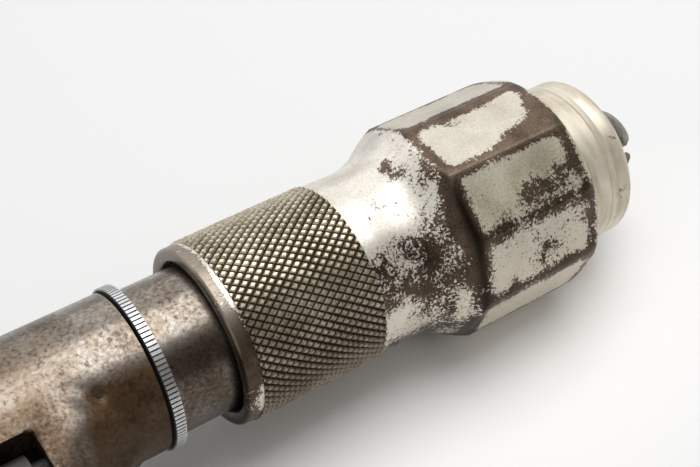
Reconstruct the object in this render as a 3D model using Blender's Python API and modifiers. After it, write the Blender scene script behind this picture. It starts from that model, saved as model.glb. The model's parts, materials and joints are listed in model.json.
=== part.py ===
"""Hand brace with a ratchet: a forged crank with a turning head and a turning sweep grip, a ratchet
housing with a selector ring and two pawls, and a screw chuck with two jaws.

Lengths are in metres. Stations along the tool lie on its main axis and are counted from the rear
edge of the knurled sleeve, positive towards the nose. The crank bows out towards -Y.
"""

import math

import bmesh
import bpy
from mathutils import Matrix, Vector

MM = 0.001

# Clearances
FIT_GAP = 0.3 * MM        # between pieces that rest on each other
RUN_GAP = 0.35 * MM       # between pieces that turn or slide on each other

# Knurled sleeve and faceted shell of the chuck
SLEEVE_R = 15.0 * MM
KNURL_RISE = 0.3 * MM
KNURL_START = 2.6 * MM
KNURL_END = 25.0 * MM
WAIST_R = 14.8 * MM
FLARE_START = 31.6 * MM
FLARE_HOLLOW = 13.0 * MM  # radius of the hollow curve from the waist into the flare
FLARE_DEG = 32.0          # slope of the flare, steep enough for a crease behind the flats
BULB_R = 19.2 * MM
FACET_COUNT = 10
FACET_APOTHEM = 18.36 * MM
SHELL_FRONT = 66.4 * MM
SHOULDER_LENGTH = 3.2 * MM
SHOULDER_DROP = 1.9 * MM
SHELL_WALL = 2.0 * MM
SHELL_FRONT_WALL = 4.5 * MM
SLEEVE_LIP = 1.2 * MM

# Chuck spindle
NECK_R = 12.08 * MM
NECK_LENGTH = 11.1 * MM
THREAD_R = 11.3 * MM
THREAD_PITCH = 2.0 * MM
TURNS_TO_CLOSE = 2.0
TURNS_TO_OPEN = 3.0
JAW_BODY_R = 10.2 * MM
JAW_BODY_START = 28.0 * MM
JAW_BODY_END = 52.0 * MM
JAW_SLOT_FLOOR = 34.0 * MM
SOCKET_DEPTH = 14.0 * MM
SOCKET_MOUTH = 8.8 * MM
SOCKET_FLOOR = 7.2 * MM
SHAFT_R = 7.6 * MM

# Nose collar, its cone and its bearing
COLLAR_R = 14.4 * MM
COLLAR_LENGTH = 10.7 * MM
COLLAR_ROUND = 0.8 * MM
COLLAR_TAIL_R = 13.25 * MM
COLLAR_TAIL_LENGTH = 14.2 * MM
COLLAR_BORE_R = 12.0 * MM
MOUTH_R = 9.3 * MM
CONE_DEG = 18.0
THRUST_BALL_R = 1.2 * MM
THRUST_BALLS = 8
THRUST_RACE_THICKNESS = 1.5 * MM
SNAP_WIRE_R = 0.8 * MM

# Jaws
JAW_TURN_DEG = -20.0      # how far the jaws are turned from +Z towards +Y
JAW_GAP = 3.6 * MM
JAW_WIDTH = 13.0 * MM
JAW_TAIL_R = 9.4 * MM
JAW_TIP_OUT = 8.6 * MM    # how far the jaws stand out of the collar
JAW_CONE_GAP = 0.6 * MM
JAW_SHANK_GAP = 1.8 * MM  # more room round the jaws' shanks than at the cone
JAW_END_GAP = 0.6 * MM
JAW_PIVOT_INSET = 2.0 * MM
JAW_GROOVE = 4.4 * MM
JAW_SPRING_WIDTH = 1.8 * MM
JAW_SPRING_LENGTH = 14.0 * MM
JAW_SPRING_GAP = 0.55 * MM  # from the spring's legs to the jaws, so that they can close on it
JAW_SPRING_THICKNESS = 0.6 * MM

# Selector ring and its cam sleeve
RING_R = 13.54 * MM
RING_WIDTH = 1.69 * MM
RING_SLEEVE_WALL = 1.7 * MM
RING_FINGER_WIDTH = 4.0 * MM
RING_FINGER_REACH = 12.6 * MM
RING_FINGER_THICKNESS = 1.4 * MM

# Ratchet housing on the crank
HOUSING_R = 13.05 * MM
HOUSING_GAP = 0.55 * MM   # dark gap between the ring and the housing
HOUSING_LENGTH = 42.35 * MM
WINDOW_SETBACK = 19.35 * MM
WINDOW_LENGTH = 16.5 * MM
WINDOW_INNER = 9.5 * MM
WINDOW_OUTER = 21.5 * MM
OIL_HOLE_R = 0.7 * MM
OIL_HOLE_SETBACK = 8.25 * MM
OIL_HOLE_DEG = 40.0
ROOT_SETBACK = 13.95 * MM  # from the housing's front to the root's front wall
ROOT_FILLET = 13.4 * MM
ROOT_BEND = 9.0 * MM
ROOT_EDGE = 5.8 * MM
ROOT_LEAN = 9.0 * MM      # how far the root's front leans back at its top, beside the housing
ROOT_CROWN = 12.6 * MM    # half heights from the housing out to the arm
ROOT_CROWN_END = 12.0 * MM
ROOT_SHOULDER_HEIGHT = 11.0 * MM
ROOT_SHOULDER = 27.5 * MM
ROOT_ARM_HEIGHT = 9.2 * MM
ROOT_END = 52.0 * MM
ROOT_OVERHANG = 1.5 * MM

# Ratchet wheel, pawls and the pieces that hold them
WHEEL_TEETH = 12
WHEEL_R = 11.2 * MM
WHEEL_ROOT_R = 9.3 * MM
WHEEL_POCKET_GAP = 0.4 * MM
WHEEL_PIN_R = 1.5 * MM
PAWL_THICKNESS = 6.0 * MM
PAWL_PIN_R = 1.75 * MM
PAWL_BOSS_R = 3.3 * MM
PAWL_PIN_OUT = 14.0 * MM
PAWL_PIN_RISE = 7.2 * MM
PAWL_NOSE_GAP = 0.5 * MM
PAWL_NOSE_WIDTH = 2.0 * MM
PAWL_TAIL = 4.2 * MM
PAWL_PIN_SEAT = 2.6 * MM
PAWL_SPRING_THICKNESS = 0.8 * MM
PAWL_SPRING_BOW = 1.6 * MM
REAR_BUSH_LENGTH = 6.4 * MM
WASHER_THICKNESS = 1.5 * MM
SPINDLE_WASHER_R = 11.0 * MM
SCREW_R = 2.5 * MM
SCREW_TIP_GAP = 1.35 * MM  # from the spindle screw's tip to the hole of the wheel's pin
SCREW_HEAD_R = 5.0 * MM
SCREW_HEAD_HEIGHT = 3.0 * MM

# Crank
CRANK_THROW = 127.0 * MM
ROD_R = 6.5 * MM
ARM_ROOT = 31.85 * MM      # from the housing's front to the front arm's centre line
ARM_SLANT = 18.0 * MM
BOW_LENGTH = 132.0 * MM
GRIP_BEND_R = 22.0 * MM
QUILL_BEND_R = 16.0 * MM
QUILL_SET = 10.0 * MM     # from the arm's bend to the quill's shoulder

# Sweep grip
GRIP_LENGTH = 86.0 * MM
GRIP_R = 16.8 * MM
GRIP_NECK_R = 13.4 * MM
GRIP_BORE_GAP = 0.45 * MM
FERRULE_LENGTH = 7.0 * MM
FERRULE_R = 13.0 * MM
FERRULE_WALL = 1.2 * MM

# Head and its bearing
QUILL_R = 8.0 * MM
QUILL_STUD_R = 5.0 * MM
SHOULDER_R = 14.0 * MM
SHOULDER_THICKNESS = 4.0 * MM
HEAD_RACE_THICKNESS = 1.5 * MM
HEAD_BALL_R = 2.0 * MM
HEAD_BALLS = 8
HUB_WALL = 2.2 * MM
HUB_FLOOR = 3.6 * MM
PLATE_R = 31.0 * MM
PLATE_THICKNESS = 3.0 * MM
HEAD_R = 37.5 * MM
HEAD_HEIGHT = 37.0 * MM
HEAD_RIM = 14.0 * MM      # from the plate to the head's widest point
HEAD_WASHER_R = 12.0 * MM
NUT_R = 7.5 * MM
NUT_HEIGHT = 5.0 * MM
HEAD_SCREWS = 3
HEAD_SCREW_CIRCLE = 25.0 * MM
HEAD_SCREW_R = 1.9 * MM
HEAD_SCREW_LENGTH = 14.0 * MM

# How finely round pieces are drawn
FINE = 40
MEDIUM = 32
COARSE = 16

# Stations that follow from the sizes above
RING_FRONT = -(NECK_LENGTH - 1.5 * MM) - FIT_GAP
RING_REAR = RING_FRONT - RING_WIDTH
HOUSING_FRONT = RING_REAR - HOUSING_GAP
HOUSING_REAR = HOUSING_FRONT - HOUSING_LENGTH
WINDOW_FRONT = HOUSING_FRONT - WINDOW_SETBACK
WINDOW_REAR = WINDOW_FRONT - WINDOW_LENGTH
NECK_FRONT = RING_FRONT + FIT_GAP + NECK_LENGTH
FLARE_SLOPE = math.tan(math.radians(FLARE_DEG))
HOLLOW_RISE = FLARE_HOLLOW * (1 - math.cos(math.radians(FLARE_DEG)))
HOLLOW_RUN = FLARE_HOLLOW * math.sin(math.radians(FLARE_DEG))
FLARE_END = FLARE_START + HOLLOW_RUN + (BULB_R - WAIST_R - HOLLOW_RISE) / FLARE_SLOPE
COLLAR_REAR = SHELL_FRONT + FIT_GAP
COLLAR_FRONT = COLLAR_REAR + COLLAR_LENGTH
JAW_TIP = COLLAR_FRONT + JAW_TIP_OUT
JAW_REAR = JAW_SLOT_FLOOR + JAW_END_GAP
JAW_PIVOT = JAW_REAR + JAW_PIVOT_INSET
SLEEVE_BORE_R = SHAFT_R + RUN_GAP
SLEEVE_TUBE_R = SLEEVE_BORE_R + RING_SLEEVE_WALL
POCKET_R = WHEEL_R + WHEEL_POCKET_GAP
FINGER_REAR = WINDOW_FRONT - FIT_GAP - RING_FINGER_THICKNESS
WHEEL_FRONT = FINGER_REAR - RUN_GAP
WHEEL_REAR = HOUSING_REAR + REAR_BUSH_LENGTH + RUN_GAP
WHEEL_MIDDLE = (WHEEL_FRONT + WHEEL_REAR) / 2
SCREW_TIP = WHEEL_MIDDLE - WHEEL_PIN_R - FIT_GAP - SCREW_TIP_GAP
FRONT_BEND = HOUSING_FRONT - ARM_ROOT - ARM_SLANT
REAR_BEND = FRONT_BEND - BOW_LENGTH
QUILL_BEND = REAR_BEND - ARM_SLANT
SHOULDER_REAR = QUILL_BEND - QUILL_SET - SHOULDER_THICKNESS
RACE_FRONT = SHOULDER_REAR - FIT_GAP
RACE_REAR = RACE_FRONT - HEAD_RACE_THICKNESS
HEAD_BALL_X = RACE_REAR - FIT_GAP - HEAD_BALL_R
HUB_FLOOR_X = HEAD_BALL_X - HEAD_BALL_R - FIT_GAP
PLATE_REAR = HUB_FLOOR_X - HUB_FLOOR - PLATE_THICKNESS
HEAD_FACE = PLATE_REAR - FIT_GAP
HEAD_TOP = HEAD_FACE - HEAD_HEIGHT
QUILL_END = PLATE_REAR - FIT_GAP
NUT_FRONT = QUILL_END - 2 * FIT_GAP - WASHER_THICKNESS
STUD_END = NUT_FRONT - NUT_HEIGHT - 2.0 * MM

# The box's bottom centre is the origin, so the main axis stands away from it
AXIS_PLACE = Vector((
    -(JAW_TIP + HEAD_TOP) / 2,
    (CRANK_THROW + GRIP_R - HEAD_R) / 2,
    HEAD_R,
))


def clear_scene():
    """Starts from an empty file."""
    for old in list(bpy.data.objects):
        bpy.data.objects.remove(old, do_unlink=True)


def new_collection(name):
    found = bpy.data.collections.new(name)
    bpy.context.scene.collection.children.link(found)
    return found


clear_scene()
PIECES = new_collection("hand_brace")
CUTTERS = new_collection("hand_brace_cutters")

AXIS = bpy.data.objects.new("main_axis", None)
AXIS.location = AXIS_PLACE
PIECES.objects.link(AXIS)


def metal(name, colour, roughness, metallic=1.0):
    found = bpy.data.materials.new(name)
    found.use_nodes = True
    shader = found.node_tree.nodes["Principled BSDF"]
    shader.inputs["Base Color"].default_value = (*colour, 1.0)
    shader.inputs["Roughness"].default_value = roughness
    shader.inputs["Metallic"].default_value = metallic
    return found


FORGED = metal("forged_steel", (0.30, 0.25, 0.21), 0.42)
RING_STEEL = metal("bright_ring_steel", (0.52, 0.53, 0.55), 0.35)
NICKEL = metal("worn_nickel", (0.58, 0.55, 0.48), 0.34)
PLATED = metal("collar_plating", (0.72, 0.69, 0.62), 0.25)
TOOL_STEEL = metal("tool_steel", (0.34, 0.34, 0.35), 0.40)
SPRING_STEEL = metal("spring_steel", (0.25, 0.26, 0.29), 0.35)
BRIGHT_STEEL = metal("bearing_steel", (0.62, 0.62, 0.63), 0.22)
HEAD_WOOD = metal("stained_beech", (0.21, 0.09, 0.04), 0.45, 0.0)
GRIP_WOOD = metal("stained_grip", (0.22, 0.10, 0.045), 0.45, 0.0)


def place(thing, collection, parent=AXIS):
    collection.objects.link(thing)
    thing.parent = parent
    return thing


def as_cutter(thing):
    thing.hide_render = True
    thing.display_type = "WIRE"
    return thing


def shade(mesh, degrees=35.0):
    mesh.shade_smooth()
    mesh.set_sharp_from_angle(angle=math.radians(degrees))


def elliptic(centre, size, start_deg, end_deg, count):
    """Points (station, radius) on an arc about centre, whose half sizes are given along both."""
    points = []
    for i in range(count + 1):
        angle = math.radians(start_deg + (end_deg - start_deg) * i / count)
        points.append((centre[0] + size[0] * math.cos(angle), centre[1] + size[1] * math.sin(angle)))
    return points


def turned(name, profile, finish, steps=MEDIUM, closed=True, collection=PIECES, offset=(0.0, 0.0, 0.0)):
    """A turned piece on the main axis, or beside it by offset. The profile holds (station, radius)
    and runs down the outer side from nose to rear. An open one starts and ends on the axis."""
    mesh = bpy.data.meshes.new(name)
    verts = [(radius, 0.0, station) for station, radius in profile]
    edges = [(i, i + 1) for i in range(len(verts) - 1)]
    if closed:
        edges.append((len(verts) - 1, 0))
    mesh.from_pydata(verts, edges, [])
    piece = bpy.data.objects.new(name, mesh)
    screw = piece.modifiers.new("turn", "SCREW")
    screw.axis = "Z"
    screw.steps = steps
    screw.render_steps = steps
    screw.use_merge_vertices = True
    screw.merge_threshold = 0.00001
    piece.rotation_euler = (0.0, math.pi / 2, 0.0)
    piece.location = offset
    mesh.materials.append(finish)
    return place(piece, collection)


def drill(name, start, end, radius, steps=COARSE):
    """A round cutter from start to end."""
    start, end = Vector(start), Vector(end)
    mesh = bpy.data.meshes.new(name)
    shape = bmesh.new()
    bmesh.ops.create_cone(shape, cap_ends=True, segments=steps, radius1=radius, radius2=radius,
                          depth=(end - start).length)
    shape.to_mesh(mesh)
    shape.free()
    cutter = bpy.data.objects.new(name, mesh)
    cutter.rotation_euler = Vector((0, 0, 1)).rotation_difference(end - start).to_euler()
    cutter.location = (start + end) / 2
    return as_cutter(place(cutter, CUTTERS))


def block(name, low, high, collection=CUTTERS, turn_deg=0.0):
    """A box between two corners, then turned about the main axis from +Z towards -Y."""
    low, high = Vector(low), Vector(high)
    mesh = bpy.data.meshes.new(name)
    shape = bmesh.new()
    bmesh.ops.create_cube(shape, size=1.0)
    bmesh.ops.scale(shape, vec=high - low, verts=shape.verts)
    bmesh.ops.translate(shape, vec=(low + high) / 2, verts=shape.verts)
    bmesh.ops.rotate(shape, matrix=turn(turn_deg), verts=shape.verts)
    shape.to_mesh(mesh)
    shape.free()
    piece = place(bpy.data.objects.new(name, mesh), collection)
    return as_cutter(piece) if collection == CUTTERS else piece


def turn(degrees):
    """Turns +Z towards -Y about the main axis."""
    return Matrix.Rotation(math.radians(degrees), 3, "X")


def combine(piece, other, operation="DIFFERENCE"):
    step = piece.modifiers.new(operation.lower(), "BOOLEAN")
    step.operation = operation
    step.object = other
    step.solver = "EXACT"


def baked(source, name, finish, origin=(0.0, 0.0, 0.0)):
    """The evaluated shape of source as a plain mesh, with its origin where it turns."""
    bpy.context.view_layer.update()
    graph = bpy.context.evaluated_depsgraph_get()
    mesh = bpy.data.meshes.new_from_object(source.evaluated_get(graph))
    mesh.name = name
    mesh.transform(AXIS.matrix_world.inverted() @ source.matrix_world)
    mesh.transform(Matrix.Translation(-Vector(origin)))
    shape = bmesh.new()
    shape.from_mesh(mesh)
    bmesh.ops.remove_doubles(shape, verts=shape.verts, dist=0.000002)
    shape.to_mesh(mesh)
    shape.free()
    mesh.materials.clear()
    mesh.materials.append(finish)
    piece = bpy.data.objects.new(name, mesh)
    piece.location = origin
    return piece


def outline_solid(name, outlines, half_depth, rotation=(0.0, 0.0, 0.0), location=(0.0, 0.0, 0.0)):
    """A flat outline with its holes, given a thickness, as a curve."""
    curve = bpy.data.curves.new(name, "CURVE")
    curve.dimensions = "2D"
    curve.fill_mode = "BOTH"
    curve.extrude = half_depth
    for outline in outlines:
        spline = curve.splines.new("POLY")
        spline.points.add(len(outline) - 1)
        for point, (a, b) in zip(spline.points, outline):
            point.co = (a, b, 0.0, 1.0)
        spline.use_cyclic_u = True
    piece = bpy.data.objects.new(name + "_outline", curve)
    piece.rotation_euler = rotation
    piece.location = location
    return place(piece, CUTTERS)


def from_curve(curve, name, finish, collection=PIECES, origin=(0.0, 0.0, 0.0)):
    """Turns a curve into a mesh piece and removes the curve."""
    piece = baked(curve, name, finish, origin)
    bpy.data.objects.remove(curve, do_unlink=True)
    place(piece, collection)
    return as_cutter(piece) if collection == CUTTERS else piece


def across(outline, rear, front):
    """Rotation and place that stand a flat outline, drawn as (-z, y), between two stations."""
    return dict(rotation=(0.0, math.pi / 2, 0.0), location=((rear + front) / 2, 0.0, 0.0))


def tube(name, path, radius, finish, sides=4):
    """A round bar along a path, as a mesh with closed ends."""
    curve = bpy.data.curves.new(name, "CURVE")
    curve.dimensions = "3D"
    curve.bevel_depth = radius
    curve.bevel_resolution = sides
    curve.use_fill_caps = True
    spline = curve.splines.new("POLY")
    spline.points.add(len(path) - 1)
    for point, co in zip(spline.points, path):
        point.co = (*co, 1.0)
    bar = place(bpy.data.objects.new(name + "_path", curve), CUTTERS)
    return from_curve(bar, name, finish, CUTTERS)


def rounded_path(corners, radii, steps):
    """A path through corners, with each inner corner turned at its own radius."""
    path = [Vector(corners[0])]
    for before, corner, after, radius in zip(corners, corners[1:], corners[2:], radii):
        corner = Vector(corner)
        back = (Vector(before) - corner).normalized()
        ahead = (Vector(after) - corner).normalized()
        half = back.angle(ahead) / 2
        centre = corner + (back + ahead).normalized() * radius / math.sin(half)
        start = corner + back * radius / math.tan(half)
        sweep = math.pi - 2 * half
        axis = (start - centre).cross(ahead).normalized()
        for i in range(steps + 1):
            path.append(centre + Matrix.Rotation(sweep * i / steps, 3, axis) @ (start - centre))
    path.append(Vector(corners[-1]))
    return path


def ball(name, radius, centre):
    mesh = bpy.data.meshes.new(name)
    shape = bmesh.new()
    bmesh.ops.create_uvsphere(shape, u_segments=8, v_segments=6, radius=radius)
    shape.to_mesh(mesh)
    shape.free()
    mesh.materials.append(BRIGHT_STEEL)
    piece = bpy.data.objects.new(name, mesh)
    piece.location = centre
    return place(piece, PIECES)


def ring_of_balls(name, count, radius, station, circle):
    for i in range(count):
        angle = 2 * math.pi * i / count
        ball(f"{name}_{i + 1}", radius, (station, circle * math.cos(angle), circle * math.sin(angle)))


def flare_profile():
    """The straight flare running down into the waist's hollow curve, from bulb to waist."""
    size = (FLARE_HOLLOW, FLARE_HOLLOW)
    hollow = elliptic((FLARE_START, WAIST_R + FLARE_HOLLOW), size, FLARE_DEG - 90.0, -90.0, 6)
    return [(FLARE_END, BULB_R)] + hollow


def build_chuck_shell():
    """Sleeve, waist and bulb are one piece. The bulb is turned round, then its flats are cut."""
    cavity_r = FACET_APOTHEM - SHELL_WALL
    thread_r = THREAD_R + RUN_GAP
    counterbore_r = NECK_R + 2 * RUN_GAP
    counterbore = NECK_FRONT + TURNS_TO_CLOSE * THREAD_PITCH + FIT_GAP
    shoulder = elliptic((SHELL_FRONT - SHOULDER_LENGTH, BULB_R - SHOULDER_DROP),
                        (SHOULDER_LENGTH, SHOULDER_DROP), 0.0, 90.0, 4)
    profile = shoulder + flare_profile()
    profile += [
        (KNURL_END, SLEEVE_R),
        (KNURL_END - KNURL_RISE, SLEEVE_R + KNURL_RISE),
        (KNURL_START + KNURL_RISE, SLEEVE_R + KNURL_RISE),
        (KNURL_START, SLEEVE_R),
        (SLEEVE_LIP / 2, SLEEVE_R),
        (0.0, SLEEVE_R - SLEEVE_LIP / 2),
        (0.0, counterbore_r),
        (counterbore, counterbore_r),
        (counterbore, thread_r),
        (FLARE_START + SHELL_WALL, thread_r),
        (FLARE_END, cavity_r),
        (SHELL_FRONT - SHELL_FRONT_WALL, cavity_r),
        (SHELL_FRONT - SHELL_FRONT_WALL, COLLAR_TAIL_R + RUN_GAP),
        (SHELL_FRONT, COLLAR_TAIL_R + RUN_GAP),
    ]
    shell = turned("chuck_shell", profile, NICKEL, steps=FINE)
    prism = bpy.data.meshes.new("facet_prism")
    shape = bmesh.new()
    corner_r = FACET_APOTHEM / math.cos(math.pi / FACET_COUNT)
    bmesh.ops.create_cone(shape, cap_ends=True, segments=FACET_COUNT, radius1=corner_r, radius2=corner_r,
                          depth=2 * SHELL_FRONT)
    shape.to_mesh(prism)
    shape.free()
    flats = bpy.data.objects.new("facet_prism", prism)
    flats.rotation_euler = (0.0, math.pi / 2, 0.0)
    flats.location = (SHELL_FRONT / 2, 0.0, 0.0)
    combine(shell, as_cutter(place(flats, CUTTERS)), "INTERSECT")


def cone_radius(station):
    """Radius of the collar's inner cone at a station."""
    return MOUTH_R + (COLLAR_FRONT - station) * math.tan(math.radians(CONE_DEG))


def cone_end():
    return COLLAR_FRONT - (COLLAR_BORE_R - MOUTH_R) / math.tan(math.radians(CONE_DEG))


def build_nose_collar():
    """The plain ring at the nose, with the cone that closes the jaws and a tail in the shell."""
    rim = elliptic((COLLAR_FRONT - COLLAR_ROUND, COLLAR_R - COLLAR_ROUND), (COLLAR_ROUND, COLLAR_ROUND),
                   0.0, 90.0, 3)
    tail_end = COLLAR_REAR - COLLAR_TAIL_LENGTH
    profile = rim + [
        (COLLAR_REAR, COLLAR_R),
        (COLLAR_REAR, COLLAR_TAIL_R),
        (tail_end, COLLAR_TAIL_R),
        (tail_end, COLLAR_BORE_R),
        (cone_end(), COLLAR_BORE_R),
        (COLLAR_FRONT, MOUTH_R),
    ]
    turned("nose_collar", profile, PLATED, steps=FINE)


def build_thrust_bearing():
    """Balls between the shell's front wall and a race, which a snap ring holds on the collar."""
    cavity_r = FACET_APOTHEM - SHELL_WALL
    wall = SHELL_FRONT - SHELL_FRONT_WALL
    centre = wall - FIT_GAP - THRUST_BALL_R
    circle = (COLLAR_TAIL_R + cavity_r) / 2
    ring_of_balls("thrust_ball", THRUST_BALLS, THRUST_BALL_R, centre, circle)
    front = centre - THRUST_BALL_R - FIT_GAP
    rear = front - THRUST_RACE_THICKNESS
    turned("thrust_race", [
        (front, cavity_r - RUN_GAP), (rear, cavity_r - RUN_GAP),
        (rear, COLLAR_TAIL_R + FIT_GAP), (front, COLLAR_TAIL_R + FIT_GAP),
    ], BRIGHT_STEEL)
    station = rear - FIT_GAP - SNAP_WIRE_R
    circle = COLLAR_TAIL_R + FIT_GAP + SNAP_WIRE_R
    path = []
    for i in range(MEDIUM + 1):
        angle = math.radians(15.0 + 330.0 * i / MEDIUM)
        path.append((station, circle * math.cos(angle), circle * math.sin(angle)))
    wire = tube("snap_ring_wire", path, SNAP_WIRE_R, SPRING_STEEL, sides=1)
    place(baked(wire, "snap_ring", SPRING_STEEL), PIECES)
    bpy.data.objects.remove(wire, do_unlink=True)


def build_spindle():
    """Neck, thread and forked jaw body in front, and the shaft that runs in the housing."""
    shaft_end = HOUSING_REAR - FIT_GAP
    spindle = turned("chuck_spindle", [
        (JAW_BODY_END, 0.0), (JAW_BODY_END, JAW_BODY_R), (JAW_BODY_START, JAW_BODY_R),
        (JAW_BODY_START, THREAD_R), (NECK_FRONT, THREAD_R), (NECK_FRONT, NECK_R),
        (RING_FRONT + FIT_GAP, NECK_R), (RING_FRONT + FIT_GAP, SHAFT_R),
        (shaft_end, SHAFT_R), (shaft_end, 0.0),
    ], FORGED, closed=False)
    half = JAW_WIDTH / 2 + RUN_GAP
    combine(spindle, block("jaw_slot", (JAW_SLOT_FLOOR, -half, -2 * JAW_BODY_R),
                           (JAW_BODY_END + RUN_GAP, half, 2 * JAW_BODY_R), turn_deg=JAW_TURN_DEG))
    combine(spindle, bit_socket())
    combine(spindle, drill("spindle_tapping", (shaft_end - FIT_GAP, 0, 0),
                           (SCREW_TIP + FIT_GAP, 0, 0), SCREW_R + FIT_GAP))
    combine(spindle, wheel_pin_hole("spindle_pin_hole"))


def bit_socket():
    """The square hole, narrower at its floor, that takes a bit's tang."""
    mesh = bpy.data.meshes.new("bit_socket")
    shape = bmesh.new()
    depth = SOCKET_DEPTH + FIT_GAP
    bmesh.ops.create_cone(shape, cap_ends=True, segments=4, radius1=SOCKET_FLOOR / math.sqrt(2),
                          radius2=SOCKET_MOUTH / math.sqrt(2), depth=depth)
    bmesh.ops.rotate(shape, matrix=Matrix.Rotation(math.pi / 4, 3, "Z"), verts=shape.verts)
    bmesh.ops.rotate(shape, matrix=Matrix.Rotation(math.pi / 2, 3, "Y"), verts=shape.verts)
    bmesh.ops.translate(shape, vec=(JAW_SLOT_FLOOR + FIT_GAP - depth / 2, 0, 0), verts=shape.verts)
    bmesh.ops.rotate(shape, matrix=turn(JAW_TURN_DEG), verts=shape.verts)
    shape.to_mesh(mesh)
    shape.free()
    return as_cutter(place(bpy.data.objects.new("bit_socket", mesh), CUTTERS))


def build_jaw(name, side):
    """One jaw: a slice of a turned bullet with a vee groove on its gripping face."""
    straight = COLLAR_BORE_R - JAW_CONE_GAP - JAW_SHANK_GAP
    cone_start = COLLAR_FRONT - (straight + JAW_CONE_GAP - MOUTH_R) / math.tan(math.radians(CONE_DEG))
    tip_r = cone_radius(JAW_TIP) - JAW_CONE_GAP
    edge = JAW_TIP_OUT / 3
    bullet = turned(name + "_bullet", [
        (JAW_TIP, 0.0), (JAW_TIP, tip_r - edge / 2), (JAW_TIP - edge / 3, tip_r - edge / 8),
        (JAW_TIP - edge, cone_radius(JAW_TIP - edge) - JAW_CONE_GAP), (cone_start, straight),
        (JAW_BODY_END, JAW_TAIL_R), (JAW_REAR, JAW_TAIL_R), (JAW_REAR, 0.0),
    ], TOOL_STEEL, closed=False, collection=CUTTERS)
    bullet.rotation_euler = (turn(JAW_TURN_DEG) @ Matrix.Rotation(math.pi / 2, 3, "Y")).to_euler()
    near, far = JAW_GAP / 2, 2 * COLLAR_R
    low, high = (near, far) if side > 0 else (-far, -near)
    half = JAW_WIDTH / 2
    combine(bullet, block(name + "_slab", (JAW_REAR - MM, -half, low), (JAW_TIP + MM, half, high),
                          turn_deg=JAW_TURN_DEG), "INTERSECT")
    groove = block(name + "_groove", (JAW_REAR - MM, -JAW_GROOVE / 2, -JAW_GROOVE / 2),
                   (JAW_TIP + MM, JAW_GROOVE / 2, JAW_GROOVE / 2))
    groove.data.transform(Matrix.Rotation(math.pi / 4, 4, "X"))
    groove.data.transform(Matrix.Translation((0.0, 0.0, side * near)))
    groove.data.transform(turn(JAW_TURN_DEG).to_4x4())
    combine(bullet, groove)
    pivot = turn(JAW_TURN_DEG) @ Vector((JAW_PIVOT, 0.0, side * (near + JAW_TAIL_R) / 2))
    place(baked(bullet, name, TOOL_STEEL, pivot), PIECES)
    bpy.data.objects.remove(bullet, do_unlink=True)


def build_jaw_spring():
    """A vee of strip beside the bit's path that spreads the jaws."""
    rear = JAW_SLOT_FLOOR + FIT_GAP
    front = rear + JAW_SPRING_LENGTH
    t = JAW_SPRING_THICKNESS
    spread = JAW_GAP / 2 - JAW_SPRING_GAP
    outline = [
        (rear, 0.0), (front, spread), (front, spread - t), (rear + 3 * t, 0.0), (front, t - spread), (front, -spread),
    ]
    middle = JAW_WIDTH / 2 - JAW_SPRING_WIDTH / 2
    curve = outline_solid("jaw_spring", [outline], JAW_SPRING_WIDTH / 2)
    spin = turn(JAW_TURN_DEG) @ Matrix.Rotation(math.pi / 2, 3, "X")
    curve.rotation_euler = spin.to_euler()
    curve.location = turn(JAW_TURN_DEG) @ Vector((0.0, middle, 0.0))
    from_curve(curve, "jaw_spring", SPRING_STEEL)


def build_selector_ring():
    """The coin-edged ring, its sleeve round the shaft and the finger that reaches the pawls."""
    ring = turned("selector_ring", [
        (RING_FRONT, RING_R), (RING_REAR, RING_R), (RING_REAR, SLEEVE_TUBE_R),
        (FINGER_REAR, SLEEVE_TUBE_R), (FINGER_REAR, SLEEVE_BORE_R), (RING_FRONT, SLEEVE_BORE_R),
    ], RING_STEEL, steps=FINE)
    finger = block("selector_finger", (FINGER_REAR, -RING_FINGER_REACH, -RING_FINGER_WIDTH / 2),
                   (FINGER_REAR + RING_FINGER_THICKNESS, -(SLEEVE_BORE_R + SLEEVE_TUBE_R) / 2,
                    RING_FINGER_WIDTH / 2))
    combine(ring, finger, "UNION")


def wheel_pin_hole(name):
    """The cross hole that the wheel's pin goes through."""
    return drill(name, (WHEEL_MIDDLE, 0, -WHEEL_R - MM), (WHEEL_MIDDLE, 0, WHEEL_R + MM), WHEEL_PIN_R + FIT_GAP)


def build_ratchet_wheel():
    """A toothed wheel with square gaps, so that either pawl can hold it. A tooth points to -Y."""
    teeth = []
    pitch = 2 * math.pi / WHEEL_TEETH
    for i in range(WHEEL_TEETH):
        for radius, share in ((WHEEL_ROOT_R, -0.30), (WHEEL_R, -0.20), (WHEEL_R, 0.20), (WHEEL_ROOT_R, 0.30)):
            angle = pitch * (i + share) - math.pi / 2
            teeth.append((radius * math.cos(angle), radius * math.sin(angle)))
    bore_r = SHAFT_R + FIT_GAP
    bore = [(bore_r * math.cos(2 * math.pi * i / MEDIUM), bore_r * math.sin(2 * math.pi * i / MEDIUM))
            for i in range(MEDIUM)]
    outline = outline_solid("ratchet_wheel", [teeth, bore], (WHEEL_FRONT - WHEEL_REAR) / 2,
                            **across(teeth, WHEEL_REAR, WHEEL_FRONT))
    wheel = from_curve(outline, "ratchet_wheel", TOOL_STEEL)
    combine(wheel, wheel_pin_hole("wheel_pin_hole"))
    reach = WHEEL_ROOT_R - FIT_GAP
    pin = drill("wheel_pin_shape", (WHEEL_MIDDLE, 0, -reach), (WHEEL_MIDDLE, 0, reach), WHEEL_PIN_R)
    place(baked(pin, "wheel_pin", TOOL_STEEL), PIECES)
    bpy.data.objects.remove(pin, do_unlink=True)


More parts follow.
